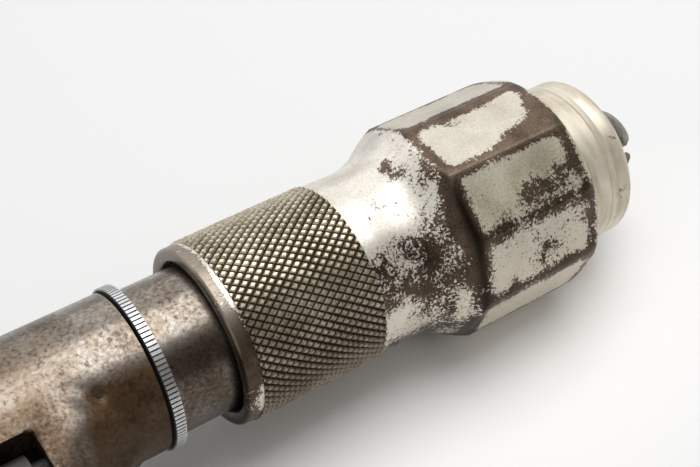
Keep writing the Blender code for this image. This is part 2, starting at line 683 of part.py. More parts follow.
def pawl_outline(side):
    """Outline (-z, y) of a pawl about its pin. It reaches past the middle to the far tooth gap."""
    pitch = 2 * math.pi / WHEEL_TEETH
    nose_r = WHEEL_R + PAWL_NOSE_GAP
    nose = Vector((-nose_r * math.cos(pitch / 2), -nose_r * math.sin(pitch / 2)))
    pin = Vector((-PAWL_PIN_OUT, PAWL_PIN_RISE))
    radial = -nose.normalized()
    sideways = Vector((-radial.y, radial.x)) * PAWL_NOSE_WIDTH / 2
    shank = radial * (PAWL_NOSE_GAP + WHEEL_R - WHEEL_ROOT_R)
    toe, heel = nose - pin + sideways, nose - pin - sideways
    boss = elliptic((0.0, 0.0), (PAWL_BOSS_R, PAWL_BOSS_R), 0.0, 180.0, 8)
    tail = Vector((-PAWL_TAIL, PAWL_TAIL / 3))
    points = [toe, heel, heel - shank, Vector((-PAWL_BOSS_R, -PAWL_BOSS_R)), tail]
    points += [Vector(p) for p in reversed(boss[:6])]
    points += [toe - shank]
    return [(-side * p.y, p.x) for p in points]


def build_pawl(name, side, rear, front):
    """A pawl on its pin. Side 1 has the pin above the middle, side -1 below it."""
    outline = pawl_outline(side)
    hole_r = PAWL_PIN_R + FIT_GAP
    hole = elliptic((0.0, 0.0), (hole_r, hole_r), 0.0, 360.0 - 360.0 / COARSE, COARSE - 1)
    curve = outline_solid(name, [outline, hole], (front - rear) / 2, **across(outline, rear, front))
    curve.location = ((rear + front) / 2, -PAWL_PIN_OUT, side * PAWL_PIN_RISE)
    from_curve(curve, name, TOOL_STEEL, origin=tuple(curve.location))


def pawl_pin_ends():
    return WINDOW_REAR - PAWL_PIN_SEAT, WINDOW_FRONT + PAWL_PIN_SEAT


def build_pawls():
    front = WHEEL_FRONT - FIT_GAP
    middle = front - PAWL_THICKNESS
    build_pawl("pawl_front", 1, middle, front)
    build_pawl("pawl_rear", -1, middle - 2 * FIT_GAP - PAWL_THICKNESS, middle - 2 * FIT_GAP)
    rear, seat = pawl_pin_ends()
    for name, side in (("pawl_pin_upper", 1), ("pawl_pin_lower", -1)):
        z = side * PAWL_PIN_RISE
        pin = drill(name + "_shape", (rear, -PAWL_PIN_OUT, z), (seat - FIT_GAP, -PAWL_PIN_OUT, z), PAWL_PIN_R)
        place(baked(pin, name, TOOL_STEEL), PIECES)
        bpy.data.objects.remove(pin, do_unlink=True)


def build_pawl_spring():
    """A bowed strip on the window's outer wall that presses on both pawls."""
    half = ROOT_ARM_HEIGHT - RUN_GAP
    wall = WINDOW_OUTER - FIT_GAP
    t = PAWL_SPRING_THICKNESS
    outer, inner = [], []
    for i in range(9):
        along = i / 4 - 1
        bow = PAWL_SPRING_BOW * (1 - along * along)
        outer.append((-half * along, -wall + bow))
        inner.append((-half * along, -wall + bow + t))
    outline = outer + inner[::-1]
    rear, front = WINDOW_REAR + 2 * RUN_GAP, WINDOW_FRONT - 2 * RUN_GAP
    curve = outline_solid("pawl_spring", [outline], (front - rear) / 2, **across(outline, rear, front))
    from_curve(curve, "pawl_spring", SPRING_STEEL)


def build_rear_bearing():
    """The bush behind the wheel, and the washer and screw that keep the spindle in."""
    outer = POCKET_R - FIT_GAP
    front = HOUSING_REAR + REAR_BUSH_LENGTH
    turned("rear_bush", [
        (front, outer), (HOUSING_REAR, outer), (HOUSING_REAR, SHAFT_R + RUN_GAP), (front, SHAFT_R + RUN_GAP),
    ], BRIGHT_STEEL)
    washer_front = HOUSING_REAR - 2 * FIT_GAP
    washer_rear = washer_front - WASHER_THICKNESS
    hole_r = SCREW_R + FIT_GAP
    turned("spindle_washer", [
        (washer_front, SPINDLE_WASHER_R), (washer_rear, SPINDLE_WASHER_R), (washer_rear, hole_r),
        (washer_front, hole_r),
    ], TOOL_STEEL)
    head = washer_rear - FIT_GAP
    dome = elliptic((head, 0.0), (SCREW_HEAD_HEIGHT, SCREW_HEAD_R), 90.0, 180.0, 4)
    turned("spindle_screw", [(SCREW_TIP, 0.0), (SCREW_TIP, SCREW_R), (head, SCREW_R)] + dome, TOOL_STEEL,
           steps=COARSE, closed=False)


def root_height(y):
    """Half height of the arm root: it leaves the housing high and is drawn down to the arm."""
    steps = [(0.0, ROOT_CROWN), (ROOT_CROWN_END, ROOT_SHOULDER_HEIGHT), (ROOT_SHOULDER, ROOT_ARM_HEIGHT),
             (ROOT_END, ROD_R)]
    for (near, high), (far, low) in zip(steps, steps[1:]):
        if -y <= far:
            break
    return high + (low - high) * (-y - near) / (far - near)


def inset(outline, amount, fixed):
    """The outline moved inwards, except for its edge number fixed, which keeps its line."""
    lines = []
    for i, (a, b) in enumerate(zip(outline, outline[1:] + outline[:1])):
        along = (Vector(b) - Vector(a)).normalized()
        inward = Vector((along.y, -along.x)) * (0.0 if i == fixed else amount)
        lines.append((Vector(a) + inward, along))
    moved = []
    for (p, u), (q, v) in zip(lines[-1:] + lines[:-1], lines):
        turned_by = u.x * v.y - u.y * v.x
        gap = q - p
        moved.append(p + u * (gap.x * v.y - gap.y * v.x) / turned_by)
    return moved


def root_outline(lean):
    """Plan of the arm root. A hollow curve leads from the housing to the front wall, and the front
    is moved back by the lean, fully beside the housing and by a quarter at the wall."""
    front = HOUSING_FRONT - ROOT_SETBACK
    lead = front + ROOT_FILLET
    rear = HOUSING_REAR - ROOT_OVERHANG
    inner = -HOUSING_R / 3
    arm_end = HOUSING_FRONT - ARM_ROOT - ARM_SLANT * ROOT_END / CRANK_THROW
    hollow = elliptic((lead, -HOUSING_R - ROOT_FILLET), (ROOT_FILLET, ROOT_FILLET), 90.0, 180.0, 8)
    hollow = [(x - lean * (0.25 + 0.75 * (x - front) / ROOT_FILLET), y) for x, y in hollow]
    bend = elliptic((front - ROOT_BEND, -HOUSING_R - ROOT_FILLET - MM), (ROOT_BEND, ROOT_BEND), 0.0, -30.0, 2)
    bend = [(x - lean * 0.25, y) for x, y in bend]
    outline = [(rear, inner), (lead - lean, inner)] + hollow + bend
    return outline + [(arm_end + ROD_R, -ROOT_END), (arm_end - ROD_R, -ROOT_END), (rear, -ROOT_SHOULDER)]


def arm_root():
    """The forged root of the front arm. Its front leans back, its edges are round, and it is drawn
    down to the arm's thickness."""
    edge = [math.radians(degrees) for degrees in (0.0, 20.0, 42.0, 64.0, 90.0)]
    rise = [(ROOT_CROWN - ROOT_EDGE * (1 - math.sin(a)), ROOT_EDGE * (1 - math.cos(a))) for a in edge]
    levels = [(-height, amount) for height, amount in rise[::-1]] + [(0.0, 0.0)] + rise
    shape = bmesh.new()
    rings = []
    for height, amount in levels:
        rim = inset(root_outline(ROOT_LEAN * abs(height) / ROOT_CROWN), amount, 0)
        rings.append([shape.verts.new((x, y, height)) for x, y in rim])
    for low, high in zip(rings, rings[1:]):
        for i in range(len(low)):
            shape.faces.new((low[i - 1], high[i - 1], high[i], low[i]))
    shape.faces.new(rings[0])
    shape.faces.new(rings[-1][::-1])
    for y in (ROOT_CROWN_END, ROOT_SHOULDER):
        everything = shape.verts[:] + shape.edges[:] + shape.faces[:]
        bmesh.ops.bisect_plane(shape, geom=everything, plane_co=(0, -y, 0), plane_no=(0, 1, 0))
    for vert in shape.verts:
        drop = ROOT_CROWN - root_height(vert.co.y)
        vert.co.z -= math.copysign(min(drop, 0.9 * abs(vert.co.z)), vert.co.z)
    bmesh.ops.triangulate(shape, faces=shape.faces)
    bmesh.ops.recalc_face_normals(shape, faces=shape.faces)
    mesh = bpy.data.meshes.new("arm_root")
    shape.to_mesh(mesh)
    shape.free()
    return as_cutter(place(bpy.data.objects.new("arm_root", mesh), CUTTERS))


def crank_rod():
    """The round bar from the housing out to the grip, along it and back to the quill."""
    arm = HOUSING_FRONT - ARM_ROOT
    corners = [
        (arm, -HOUSING_R, 0.0), (FRONT_BEND, -CRANK_THROW, 0.0), (REAR_BEND, -CRANK_THROW, 0.0),
        (QUILL_BEND, 0.0, 0.0), (SHOULDER_REAR, 0.0, 0.0),
    ]
    return tube("crank_rod", rounded_path(corners, (GRIP_BEND_R, GRIP_BEND_R, QUILL_BEND_R), 8), ROD_R, FORGED)


def quill():
    """The rear end of the crank, with the shoulder that the head bears on."""
    front = SHOULDER_REAR + SHOULDER_THICKNESS
    return turned("quill", [
        (QUILL_BEND, 0.0), (QUILL_BEND, ROD_R + FIT_GAP), (front, SHOULDER_R), (SHOULDER_REAR, SHOULDER_R),
        (SHOULDER_REAR, QUILL_R), (QUILL_END, QUILL_R), (QUILL_END, QUILL_STUD_R), (STUD_END, QUILL_STUD_R),
        (STUD_END, 0.0),
    ], FORGED, closed=False, collection=CUTTERS)


def build_crank_frame():
    """One forging: the housing, the arm root, the bent bar and the quill, then bored and slotted."""
    frame = turned("crank_frame", [
        (HOUSING_FRONT, 0.0), (HOUSING_FRONT, HOUSING_R), (HOUSING_REAR, HOUSING_R), (HOUSING_REAR, 0.0),
    ], FORGED, closed=False)
    combine(frame, arm_root(), "UNION")
    combine(frame, crank_rod(), "UNION")
    combine(frame, as_cutter(quill()), "UNION")
    past = HOUSING_R
    combine(frame, as_cutter(turned("housing_bore", [
        (HOUSING_FRONT + past, 0.0), (HOUSING_FRONT + past, SLEEVE_TUBE_R + RUN_GAP),
        (WINDOW_FRONT, SLEEVE_TUBE_R + RUN_GAP), (WINDOW_FRONT, POCKET_R), (HOUSING_REAR - past, POCKET_R),
        (HOUSING_REAR - past, 0.0),
    ], FORGED, closed=False, collection=CUTTERS)))
    combine(frame, block("pawl_window", (WINDOW_REAR, -WINDOW_OUTER, -2 * HOUSING_R),
                         (WINDOW_FRONT, -WINDOW_INNER, 2 * HOUSING_R)))
    rear, seat = pawl_pin_ends()
    for side in (1, -1):
        z = side * PAWL_PIN_RISE
        combine(frame, drill("pawl_pin_hole", (rear - past, -PAWL_PIN_OUT, z), (seat, -PAWL_PIN_OUT, z),
                             PAWL_PIN_R + FIT_GAP))
    way = turn(OIL_HOLE_DEG) @ Vector((0.0, 0.0, 1.0))
    middle = Vector((HOUSING_FRONT - OIL_HOLE_SETBACK, 0.0, 0.0))
    combine(frame, drill("oil_hole", middle + way * SLEEVE_TUBE_R, middle + way * 2 * HOUSING_R, OIL_HOLE_R, 12))


def build_grip():
    """The turned wooden grip that spins on the bow, with a metal ferrule at each end."""
    bend = GRIP_BEND_R * math.tan(math.atan2(CRANK_THROW, ARM_SLANT) / 2)
    middle = (FRONT_BEND + REAR_BEND) / 2
    half = GRIP_LENGTH / 2
    bore = ROD_R + GRIP_BORE_GAP
    seat = FERRULE_R - FERRULE_WALL - FIT_GAP
    step = half - FERRULE_LENGTH - FIT_GAP
    swell = [(middle + step * (1 - i / 5), GRIP_NECK_R + (GRIP_R - GRIP_NECK_R) * math.sin(math.pi * i / 10))
             for i in range(11)]
    offset = (0.0, -CRANK_THROW, 0.0)
    turned("grip_handle", [(middle + half, seat), (middle + step, seat)] + swell + [
        (middle - step, seat), (middle - half, seat), (middle - half, bore), (middle + half, bore),
    ], GRIP_WOOD, offset=offset)
    for name, side in (("grip_ferrule_front", 1), ("grip_ferrule_rear", -1)):
        ends = (middle + side * half, middle + side * (half - FERRULE_LENGTH))
        front, rear = max(ends), min(ends)
        edge = FERRULE_WALL / 2
        turned(name, [
            (front, FERRULE_R - edge), (front - edge, FERRULE_R), (rear + edge, FERRULE_R),
            (rear, FERRULE_R - edge), (rear, FERRULE_R - FERRULE_WALL), (front, FERRULE_R - FERRULE_WALL),
        ], PLATED, offset=offset)
    print("straight bow", round((BOW_LENGTH - 2 * bend) / MM, 2), "mm, grip", round(GRIP_LENGTH / MM, 2), "mm")


def head_screw_places():
    for i in range(HEAD_SCREWS):
        angle = 2 * math.pi * i / HEAD_SCREWS + math.pi / 2
        yield i + 1, HEAD_SCREW_CIRCLE * math.cos(angle), HEAD_SCREW_CIRCLE * math.sin(angle)


def build_head():
    """The wooden head on its plate, the ball bearing between plate and quill, and what holds it."""
    hub_bore = SHOULDER_R + RUN_GAP
    hub_r = hub_bore + HUB_WALL
    flange = PLATE_REAR + PLATE_THICKNESS
    plate = turned("head_plate", [
        (RACE_FRONT, hub_r - HUB_WALL / 2), (RACE_FRONT - HUB_WALL / 2, hub_r), (flange, hub_r),
        (flange, PLATE_R - PLATE_THICKNESS / 3), (flange - PLATE_THICKNESS / 3, PLATE_R), (PLATE_REAR, PLATE_R),
        (PLATE_REAR, QUILL_R + RUN_GAP), (HUB_FLOOR_X, QUILL_R + RUN_GAP), (HUB_FLOOR_X, hub_bore),
        (RACE_FRONT, hub_bore),
    ], PLATED, steps=FINE)
    well_r = HEAD_WASHER_R + RUN_GAP
    well_end = STUD_END - MM
    rim = HEAD_FACE - HEAD_RIM
    knob = turned("head_knob", [(well_end, 0.0), (well_end, well_r), (HEAD_FACE, well_r)]
                  + elliptic((rim, PLATE_R), (HEAD_RIM, HEAD_R - PLATE_R), 0.0, 90.0, 5)
                  + elliptic((rim, 0.0), (HEAD_HEIGHT - HEAD_RIM, HEAD_R), 90.0, 180.0, 9)[1:],
                  HEAD_WOOD, steps=FINE, closed=False)
    for number, y, z in head_screw_places():
        depth = flange - HEAD_SCREW_LENGTH - MM
        hole = drill(f"head_screw_hole_{number}", (depth, y, z), (RACE_FRONT, y, z), HEAD_SCREW_R + FIT_GAP, 12)
        combine(plate, hole)
        combine(knob, hole)
        head = flange + FIT_GAP
        dome = elliptic((head, 0.0), (HEAD_SCREW_R * 1.2, HEAD_SCREW_R * 2), 0.0, 90.0, 3)
        turned(f"head_screw_{number}", dome + [
            (head, HEAD_SCREW_R), (flange - HEAD_SCREW_LENGTH, HEAD_SCREW_R), (flange - HEAD_SCREW_LENGTH, 0.0),
        ], TOOL_STEEL, steps=12, closed=False, offset=(0.0, y, z))
    race_bore = QUILL_R + FIT_GAP
    turned("head_race", [
        (RACE_FRONT, SHOULDER_R), (RACE_REAR, SHOULDER_R), (RACE_REAR, race_bore), (RACE_FRONT, race_bore),
    ], BRIGHT_STEEL)
    ring_of_balls("head_ball", HEAD_BALLS, HEAD_BALL_R, HEAD_BALL_X, (QUILL_R + hub_bore) / 2)
    washer = QUILL_END - FIT_GAP
    stud_bore = QUILL_STUD_R + FIT_GAP
    turned("head_washer", [
        (washer, HEAD_WASHER_R), (washer - WASHER_THICKNESS, HEAD_WASHER_R),
        (washer - WASHER_THICKNESS, stud_bore), (washer, stud_bore),
    ], TOOL_STEEL)
    hexagon = elliptic((0.0, 0.0), (NUT_R, NUT_R), 0.0, 300.0, 5)
    bore = elliptic((0.0, 0.0), (stud_bore, stud_bore), 0.0, 360.0 - 360.0 / COARSE, COARSE - 1)
    nut = outline_solid("head_nut", [hexagon, bore], NUT_HEIGHT / 2, **across(hexagon, NUT_FRONT - NUT_HEIGHT, NUT_FRONT))
    from_curve(nut, "head_nut", TOOL_STEEL)


build_crank_frame()
build_rear_bearing()
build_selector_ring()
build_ratchet_wheel()
build_pawls()
build_pawl_spring()
build_spindle()
build_chuck_shell()
build_nose_collar()
build_thrust_bearing()
build_jaw("jaw_upper", 1)
build_jaw("jaw_lower", -1)
build_jaw_spring()
build_grip()
build_head()
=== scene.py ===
# %% [markdown]
# # A hand brace, seen from its chuck
# This lesson dresses the solids of a ratchet brace so that they look like an old, well-used tool on a white
# table. The solids give every size and every moving body. What is added here is what the eye notices first:
# a cut knurl, a coin-edged ring, plating that has flaked off brown steel, and soft studio light.

import json
import math

import bmesh
import bpy
import numpy as np
from mathutils import Matrix, Vector
from mathutils.bvhtree import BVHTree


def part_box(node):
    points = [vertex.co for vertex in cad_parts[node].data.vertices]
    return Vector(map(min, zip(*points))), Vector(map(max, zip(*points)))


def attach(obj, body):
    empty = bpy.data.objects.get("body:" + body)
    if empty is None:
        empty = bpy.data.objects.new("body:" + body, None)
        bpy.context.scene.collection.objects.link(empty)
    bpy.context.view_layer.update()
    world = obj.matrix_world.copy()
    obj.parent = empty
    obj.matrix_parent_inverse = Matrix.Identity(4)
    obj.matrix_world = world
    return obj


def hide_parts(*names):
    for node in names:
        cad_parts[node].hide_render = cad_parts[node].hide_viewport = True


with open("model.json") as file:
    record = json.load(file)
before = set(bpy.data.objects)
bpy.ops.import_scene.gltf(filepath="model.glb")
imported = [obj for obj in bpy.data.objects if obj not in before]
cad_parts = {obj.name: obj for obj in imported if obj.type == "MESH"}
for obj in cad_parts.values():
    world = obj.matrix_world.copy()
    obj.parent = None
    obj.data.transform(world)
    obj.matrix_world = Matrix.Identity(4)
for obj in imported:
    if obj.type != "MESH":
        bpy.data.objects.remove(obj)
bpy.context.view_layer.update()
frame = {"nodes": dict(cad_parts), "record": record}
BODY_OF = {node: body for body, nodes in frame["record"]["behaviour"]["bodies"].items() for node in nodes}
SLOT_OF = {part["node"]: part["material_slot"] for part in frame["record"]["subparts"]}
MM = 0.001

# %% [markdown]
# ## Where the axis lies
# Every turned piece shares one line, so places are given as a station along it, a radius, and an angle from
# straight up towards the crank. The line comes from the solids: the collar is round about it, and stations
# are counted from the rear edge of the sleeve.

# %% Find the axis
SHELL_LOW, SHELL_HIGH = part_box("chuck_shell")
COLLAR_LOW, COLLAR_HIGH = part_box("nose_collar")
AXIS = Vector((SHELL_LOW[0], (COLLAR_LOW[1] + COLLAR_HIGH[1]) / 2, (COLLAR_LOW[2] + COLLAR_HIGH[2]) / 2))
VIEW_ANGLE = math.radians(36.0)   # where the camera stands round the axis, from up towards the crank


def on_axis(station, radius, angle):
    """Points in the frame from stations, radii and angles, as rows of an array."""
    station, radius, angle = np.broadcast_arrays(station, radius, angle)
    side = AXIS.y - radius * np.sin(angle)
    height = AXIS.z + radius * np.cos(angle)
    return np.stack([AXIS.x + station, side, height], axis=-1)


print("axis starts at", [round(v, 4) for v in AXIS])

# %% [markdown]
# ## The camera
# The photograph looks down on the chuck from behind and above. Lens and place were found by fitting the
# round edges of the chuck, so a circle on the model falls on the same ellipse as in the picture.

# %% Camera
LENS_MM, SENSOR_MM = 72.35, 36.0
CAMERA_PLACE_MM = Vector((-64.13, -123.72, 170.28))   # from the middle of the sleeve's rear edge
CAMERA_TURN_DEG = (43.473, -2.137, -34.437)
camera_data = bpy.data.cameras.new("photo_camera")
camera_data.lens = LENS_MM
camera_data.sensor_width = SENSOR_MM
camera_data.clip_start = 10.0 * MM
camera = bpy.data.objects.new("photo_camera", camera_data)
camera.location = AXIS + CAMERA_PLACE_MM * MM
camera.rotation_euler = [math.radians(v) for v in CAMERA_TURN_DEG]
bpy.context.scene.collection.objects.link(camera)
bpy.context.scene.camera = camera
bpy.context.scene.view_settings.view_transform = "Standard"
print("camera stands", round((camera.location - AXIS).length / MM), "mm from the sleeve's rear edge")

# %% [markdown]
# ## Meshes from rows of points
# A turned or faceted piece is a grid: one row of points per station, closed round the axis. Writing the
# grid, instead of spinning a profile, lets the radius change with the angle, which the flats need.


# %% Grid helpers
def new_piece(name, verts, faces, smooth_deg=40.0):
    """A plain mesh object at the origin, shaded smooth except at edges sharper than smooth_deg."""
    mesh = bpy.data.meshes.new(name)
    mesh.from_pydata([tuple(v) for v in verts], [], faces)
    mesh.shade_smooth()
    mesh.set_sharp_from_angle(angle=math.radians(smooth_deg))
    piece = bpy.data.objects.new(name, mesh)
    bpy.context.scene.collection.objects.link(piece)
    return piece


def ring_faces(rows, around):
    """Quads between rows of a grid that closes round the axis, and from its last row to its first."""
    faces = []
    for i in range(rows):
        k = (i + 1) % rows
        for j in range(around):
            n = (j + 1) % around
            faces.append((i * around + j, i * around + n, k * around + n, k * around + j))
    return faces


def lathe(name, profile, around, smooth_deg):
    """A closed profile of (station, radius) turned about the axis, from nose to rear on its outer side."""
    stations = np.array([p[0] for p in profile])[:, None]
    radii = np.array([p[1] for p in profile])[:, None]
    angles = np.linspace(0.0, 2 * math.pi, around, endpoint=False)[None, :]
    verts = on_axis(stations, radii, angles).reshape(-1, 3)
    return new_piece(name, verts, ring_faces(len(profile), around), smooth_deg)


def arc(centre, size, start_deg, end_deg, count):
    """Points (station, radius) on an elliptic arc."""
    angles = np.radians(np.linspace(start_deg, end_deg, count + 1))
    return [(centre[0] + size[0] * math.cos(a), centre[1] + size[1] * math.sin(a)) for a in angles]


def dress(piece, material, *nodes):
    """Gives a piece its finish and its body, and hides the CAD nodes it stands for."""
    piece.data.materials.clear()
    piece.data.materials.append(material)
    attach(piece, BODY_OF[nodes[0]])
    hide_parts(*nodes)
    print(piece.name, len(piece.data.polygons), "faces for", ", ".join(nodes))


print("grid helpers ready")

# %% [markdown]
# ## Shared effects
# Three effects repeat on this tool: a mottled patina with fine pits, plating that has flaked off in ragged
# patches, and what follows from a point's place round the axis, such as how high it stands above a groove
# or whether it looks down at the table, where the materials paint shade. Each could be built again in every
# material. A shader group is built once instead, with its sizes and amounts as inputs. The groups put out
# masks only, and each material decides what to do with them.


# %% Node helpers
def node(tree, kind, place=(0, 0), **settings):
    made = tree.nodes.new(kind)
    made.location = place
    for key, value in settings.items():
        setattr(made, key, value)
    return made


def wire(tree, source, target):
    tree.links.new(source, target)


def new_group(name, inputs, outputs):
    """A shader group with number inputs (name, default) and a vector input called Place."""
    tree = bpy.data.node_groups.new(name, "ShaderNodeTree")
    tree.interface.new_socket("Place", in_out="INPUT", socket_type="NodeSocketVector")
    for label, default in inputs:
        socket = tree.interface.new_socket(label, in_out="INPUT", socket_type="NodeSocketFloat")
        socket.default_value = default
    for label in outputs:
        tree.interface.new_socket(label, in_out="OUTPUT", socket_type="NodeSocketFloat")
    return tree, node(tree, "NodeGroupInput", (-900, 0)), node(tree, "NodeGroupOutput", (900, 0))


def noise(tree, vector, scale, detail=4.0, roughness=0.6, distortion=0.0):
    made = node(tree, "ShaderNodeTexNoise")
    wire(tree, vector, made.inputs["Vector"])
    if isinstance(scale, (int, float)):
        made.inputs["Scale"].default_value = scale
    else:
        wire(tree, scale, made.inputs["Scale"])
    made.inputs["Detail"].default_value = detail
    made.inputs["Roughness"].default_value = roughness
    made.inputs["Distortion"].default_value = distortion
    return made.outputs["Fac"]


def maths(tree, operation, a, b=0.0, clamp=False):
    made = node(tree, "ShaderNodeMath", operation=operation, use_clamp=clamp)
    for socket, value in zip(made.inputs, (a, b)):
        if isinstance(value, (int, float)):
            socket.default_value = value
        else:
            wire(tree, value, socket)
    return made.outputs[0]


def span(tree, value, low, high, to_low=0.0, to_high=1.0):
    """Maps a value from one range to another, clamped."""
    made = node(tree, "ShaderNodeMapRange")
    made.clamp = True
    wire(tree, value, made.inputs["Value"])
    for label, number in (("From Min", low), ("From Max", high), ("To Min", to_low), ("To Max", to_high)):
        made.inputs[label].default_value = number
    return made.outputs["Result"]


print("node helpers ready")

# %% Patina group
FINE_TIMES = 16.0      # how much finer the speckle is than the mottle
SPECKLE_GAIN = 1.8
patina, patina_in, patina_out = new_group(
    "mottled_patina", [("Scale", 120.0), ("Speckle", 1.0)], ["Mottle", "Pits"])
broad = noise(patina, patina_in.outputs["Place"], patina_in.outputs["Scale"], 3.0, 0.55, 0.4)
fine_scale = maths(patina, "MULTIPLY", patina_in.outputs["Scale"], FINE_TIMES)
fine = noise(patina, patina_in.outputs["Place"], fine_scale, 5.0, 0.7)
speckle = maths(patina, "MULTIPLY", maths(patina, "SUBTRACT", fine, 0.5), patina_in.outputs["Speckle"])
speckle = maths(patina, "MULTIPLY", speckle, SPECKLE_GAIN)
mottle = maths(patina, "ADD", span(patina, broad, 0.25, 0.75), speckle, clamp=True)
wire(patina, mottle, patina_out.inputs["Mottle"])
wire(patina, span(patina, fine, 0.30, 0.42), patina_out.inputs["Pits"])
print("patina group:", len(patina.nodes), "nodes")

# %% Flaking group
CRUMB_TIMES = 11.0     # how much finer the crumbs at a patch's border are than the patch
flaking, flaking_in, flaking_out = new_group(
    "flaked_plating", [("Scale", 300.0), ("Wear", 0.5), ("Broad", 0.6), ("Ragged", 0.6)], ["Bare"])
patches = noise(flaking, flaking_in.outputs["Place"], flaking_in.outputs["Scale"], 6.0, 0.68, 0.5)
crumb_scale = maths(flaking, "MULTIPLY", flaking_in.outputs["Scale"], CRUMB_TIMES)
crumbs = noise(flaking, flaking_in.outputs["Place"], crumb_scale, 5.0, 0.72, 0.3)
broad = maths(flaking, "MULTIPLY", maths(flaking, "SUBTRACT", patches, 0.5), flaking_in.outputs["Broad"])
ragged = maths(flaking, "MULTIPLY", maths(flaking, "SUBTRACT", crumbs, 0.5), flaking_in.outputs["Ragged"])
level = maths(flaking, "ADD", broad, ragged)
level = maths(flaking, "ADD", level, maths(flaking, "SUBTRACT", flaking_in.outputs["Wear"], 0.5))
wire(flaking, span(flaking, level, -0.02, 0.03), flaking_out.inputs["Bare"])
print("flaking group:", len(flaking.nodes), "nodes")

# %% Axis group
# The mask of the side that looks down at the table is used for painted shade: materials darken their colour
# there.
UNDER_TURN = VIEW_ANGLE + math.radians(70.0)   # the side that looks down at the table
CHUCK_REACH = (20.0 * MM, 26.0 * MM)           # the mask ends here, so the arm and the head stay clear of it
about, about_in, about_out = new_group("about_axis", [("Bottom", 0.01), ("Top", 0.02)], ["Raised", "Painted Shade"])
offset = node(about, "ShaderNodeVectorMath", operation="SUBTRACT")
wire(about, about_in.outputs["Place"], offset.inputs[0])
offset.inputs[1].default_value = AXIS
across = node(about, "ShaderNodeVectorMath", operation="MULTIPLY")
wire(about, offset.outputs[0], across.inputs[0])
across.inputs[1].default_value = (0.0, 1.0, 1.0)
reach = node(about, "ShaderNodeVectorMath", operation="LENGTH")
wire(about, across.outputs[0], reach.inputs[0])
height = maths(about, "SUBTRACT", reach.outputs["Value"], about_in.outputs["Bottom"])
whole = maths(about, "SUBTRACT", about_in.outputs["Top"], about_in.outputs["Bottom"])
wire(about, maths(about, "DIVIDE", height, whole, clamp=True), about_out.inputs["Raised"])
outward = node(about, "ShaderNodeVectorMath", operation="NORMALIZE")
wire(about, across.outputs[0], outward.inputs[0])
facing = node(about, "ShaderNodeVectorMath", operation="DOT_PRODUCT")
wire(about, outward.outputs[0], facing.inputs[0])
facing.inputs[1].default_value = (0.0, -math.sin(UNDER_TURN), math.cos(UNDER_TURN))
below = span(about, facing.outputs["Value"], 0.55, 0.90)
on_chuck = span(about, reach.outputs["Value"], *CHUCK_REACH, 1.0, 0.0)
wire(about, maths(about, "MULTIPLY", below, on_chuck), about_out.inputs["Painted Shade"])
print("axis group:", len(about.nodes), "nodes")


# %% Material helpers
def new_material(name, roughness=0.4, metallic=1.0):
    """An empty material and its shader, with the numbers that stay the same all over it."""
    made = bpy.data.materials.new(name)
    made.use_nodes = True
    shader = made.node_tree.nodes["Principled BSDF"]
    shader.inputs["Roughness"].default_value = roughness
    shader.inputs["Metallic"].default_value = metallic
    return made, made.node_tree, shader


def place_of(tree):
    """Object coordinates, which are the frame's own."""
    return node(tree, "ShaderNodeTexCoord", (-1200, 0)).outputs["Object"]


def group_in(tree, group, vector, **values):
    made = node(tree, "ShaderNodeGroup")
    made.node_tree = group
    wire(tree, vector, made.inputs["Place"])
    for label, value in values.items():
        if isinstance(value, (int, float)):
            made.inputs[label].default_value = value
        else:
            wire(tree, value, made.inputs[label])
    return made.outputs


def blend(tree, mask, first, second):
    """A colour between two, each a socket or three numbers."""
    made = node(tree, "ShaderNodeMix", data_type="RGBA")
    wire(tree, mask, made.inputs["Factor"])
    for socket, value in ((made.inputs[6], first), (made.inputs[7], second)):
        if isinstance(value, tuple):
            socket.default_value = (*value, 1.0)
        else:
            wire(tree, value, socket)
    return made.outputs[2]


def bump(tree, shader, height, strength, distance):
    made = node(tree, "ShaderNodeBump")
    made.inputs["Strength"].default_value = strength
    made.inputs["Distance"].default_value = distance
    wire(tree, height, made.inputs["Height"])
    wire(tree, made.outputs["Normal"], shader.inputs["Normal"])


def attribute(tree, name):
    return node(tree, "ShaderNodeAttribute", attribute_name=name).outputs["Fac"]


print("material helpers ready")

# %% [markdown]
# ## Aged steel
# The crank, the neck and the housing were never plated. Hands have left them pale and smooth where they rub
# and brown where they do not, with rust blooms and small dark pits. A photograph could be wrapped round them,
# but noise in the frame's own space has no seams and fits any shape. So two steels are mixed, a rubbed one
# and a brown one, and an attribute on the mesh says where the brown one is. Along the window's edge and on
# the housing's top towards the rear, that brown is painted shade, which dims the highlight there.

# %% Aged steel
AGED_STEEL, tree, shader = new_material("aged_steel")
place = place_of(tree)
mottle, pits = group_in(tree, patina, place, Scale=95.0, Speckle=1.6)
rust = span(tree, noise(tree, place, 330.0, 5.0, 0.68, 0.8), 0.46, 0.62)
pale_steel = blend(tree, mottle, (0.100, 0.074, 0.055), (0.330, 0.302, 0.265))
pale_steel = blend(tree, maths(tree, "MULTIPLY", rust, 0.45), pale_steel, (0.17, 0.120, 0.078))
pale_steel = blend(tree, pits, (0.085, 0.056, 0.036), pale_steel)
brown_steel = blend(tree, mottle, (0.048, 0.028, 0.016), (0.155, 0.098, 0.056))
brown_steel = blend(tree, maths(tree, "MULTIPLY", rust, 0.5), brown_steel, (0.13, 0.080, 0.042))
# Brown patina, and in places painted shade that dims the highlight.
brown_and_shade = attribute(tree, "brown_and_shade")
tone = blend(tree, brown_and_shade, pale_steel, brown_steel)
# Painted shade: the side that looks down at the table is darkened.
under = maths(tree, "MULTIPLY", group_in(tree, about, place)["Painted Shade"], 0.6)
wire(tree, blend(tree, under, tone, (0.035, 0.024, 0.017)), shader.inputs["Base Color"])
polish = maths(tree, "ADD", span(tree, mottle, 0.0, 1.0, 0.34, 0.25), maths(tree, "MULTIPLY", brown_and_shade, 0.24))
wire(tree, polish, shader.inputs["Roughness"])
bump(tree, shader, pits, strength=0.15, distance=0.03 * MM)
print("aged steel ready")
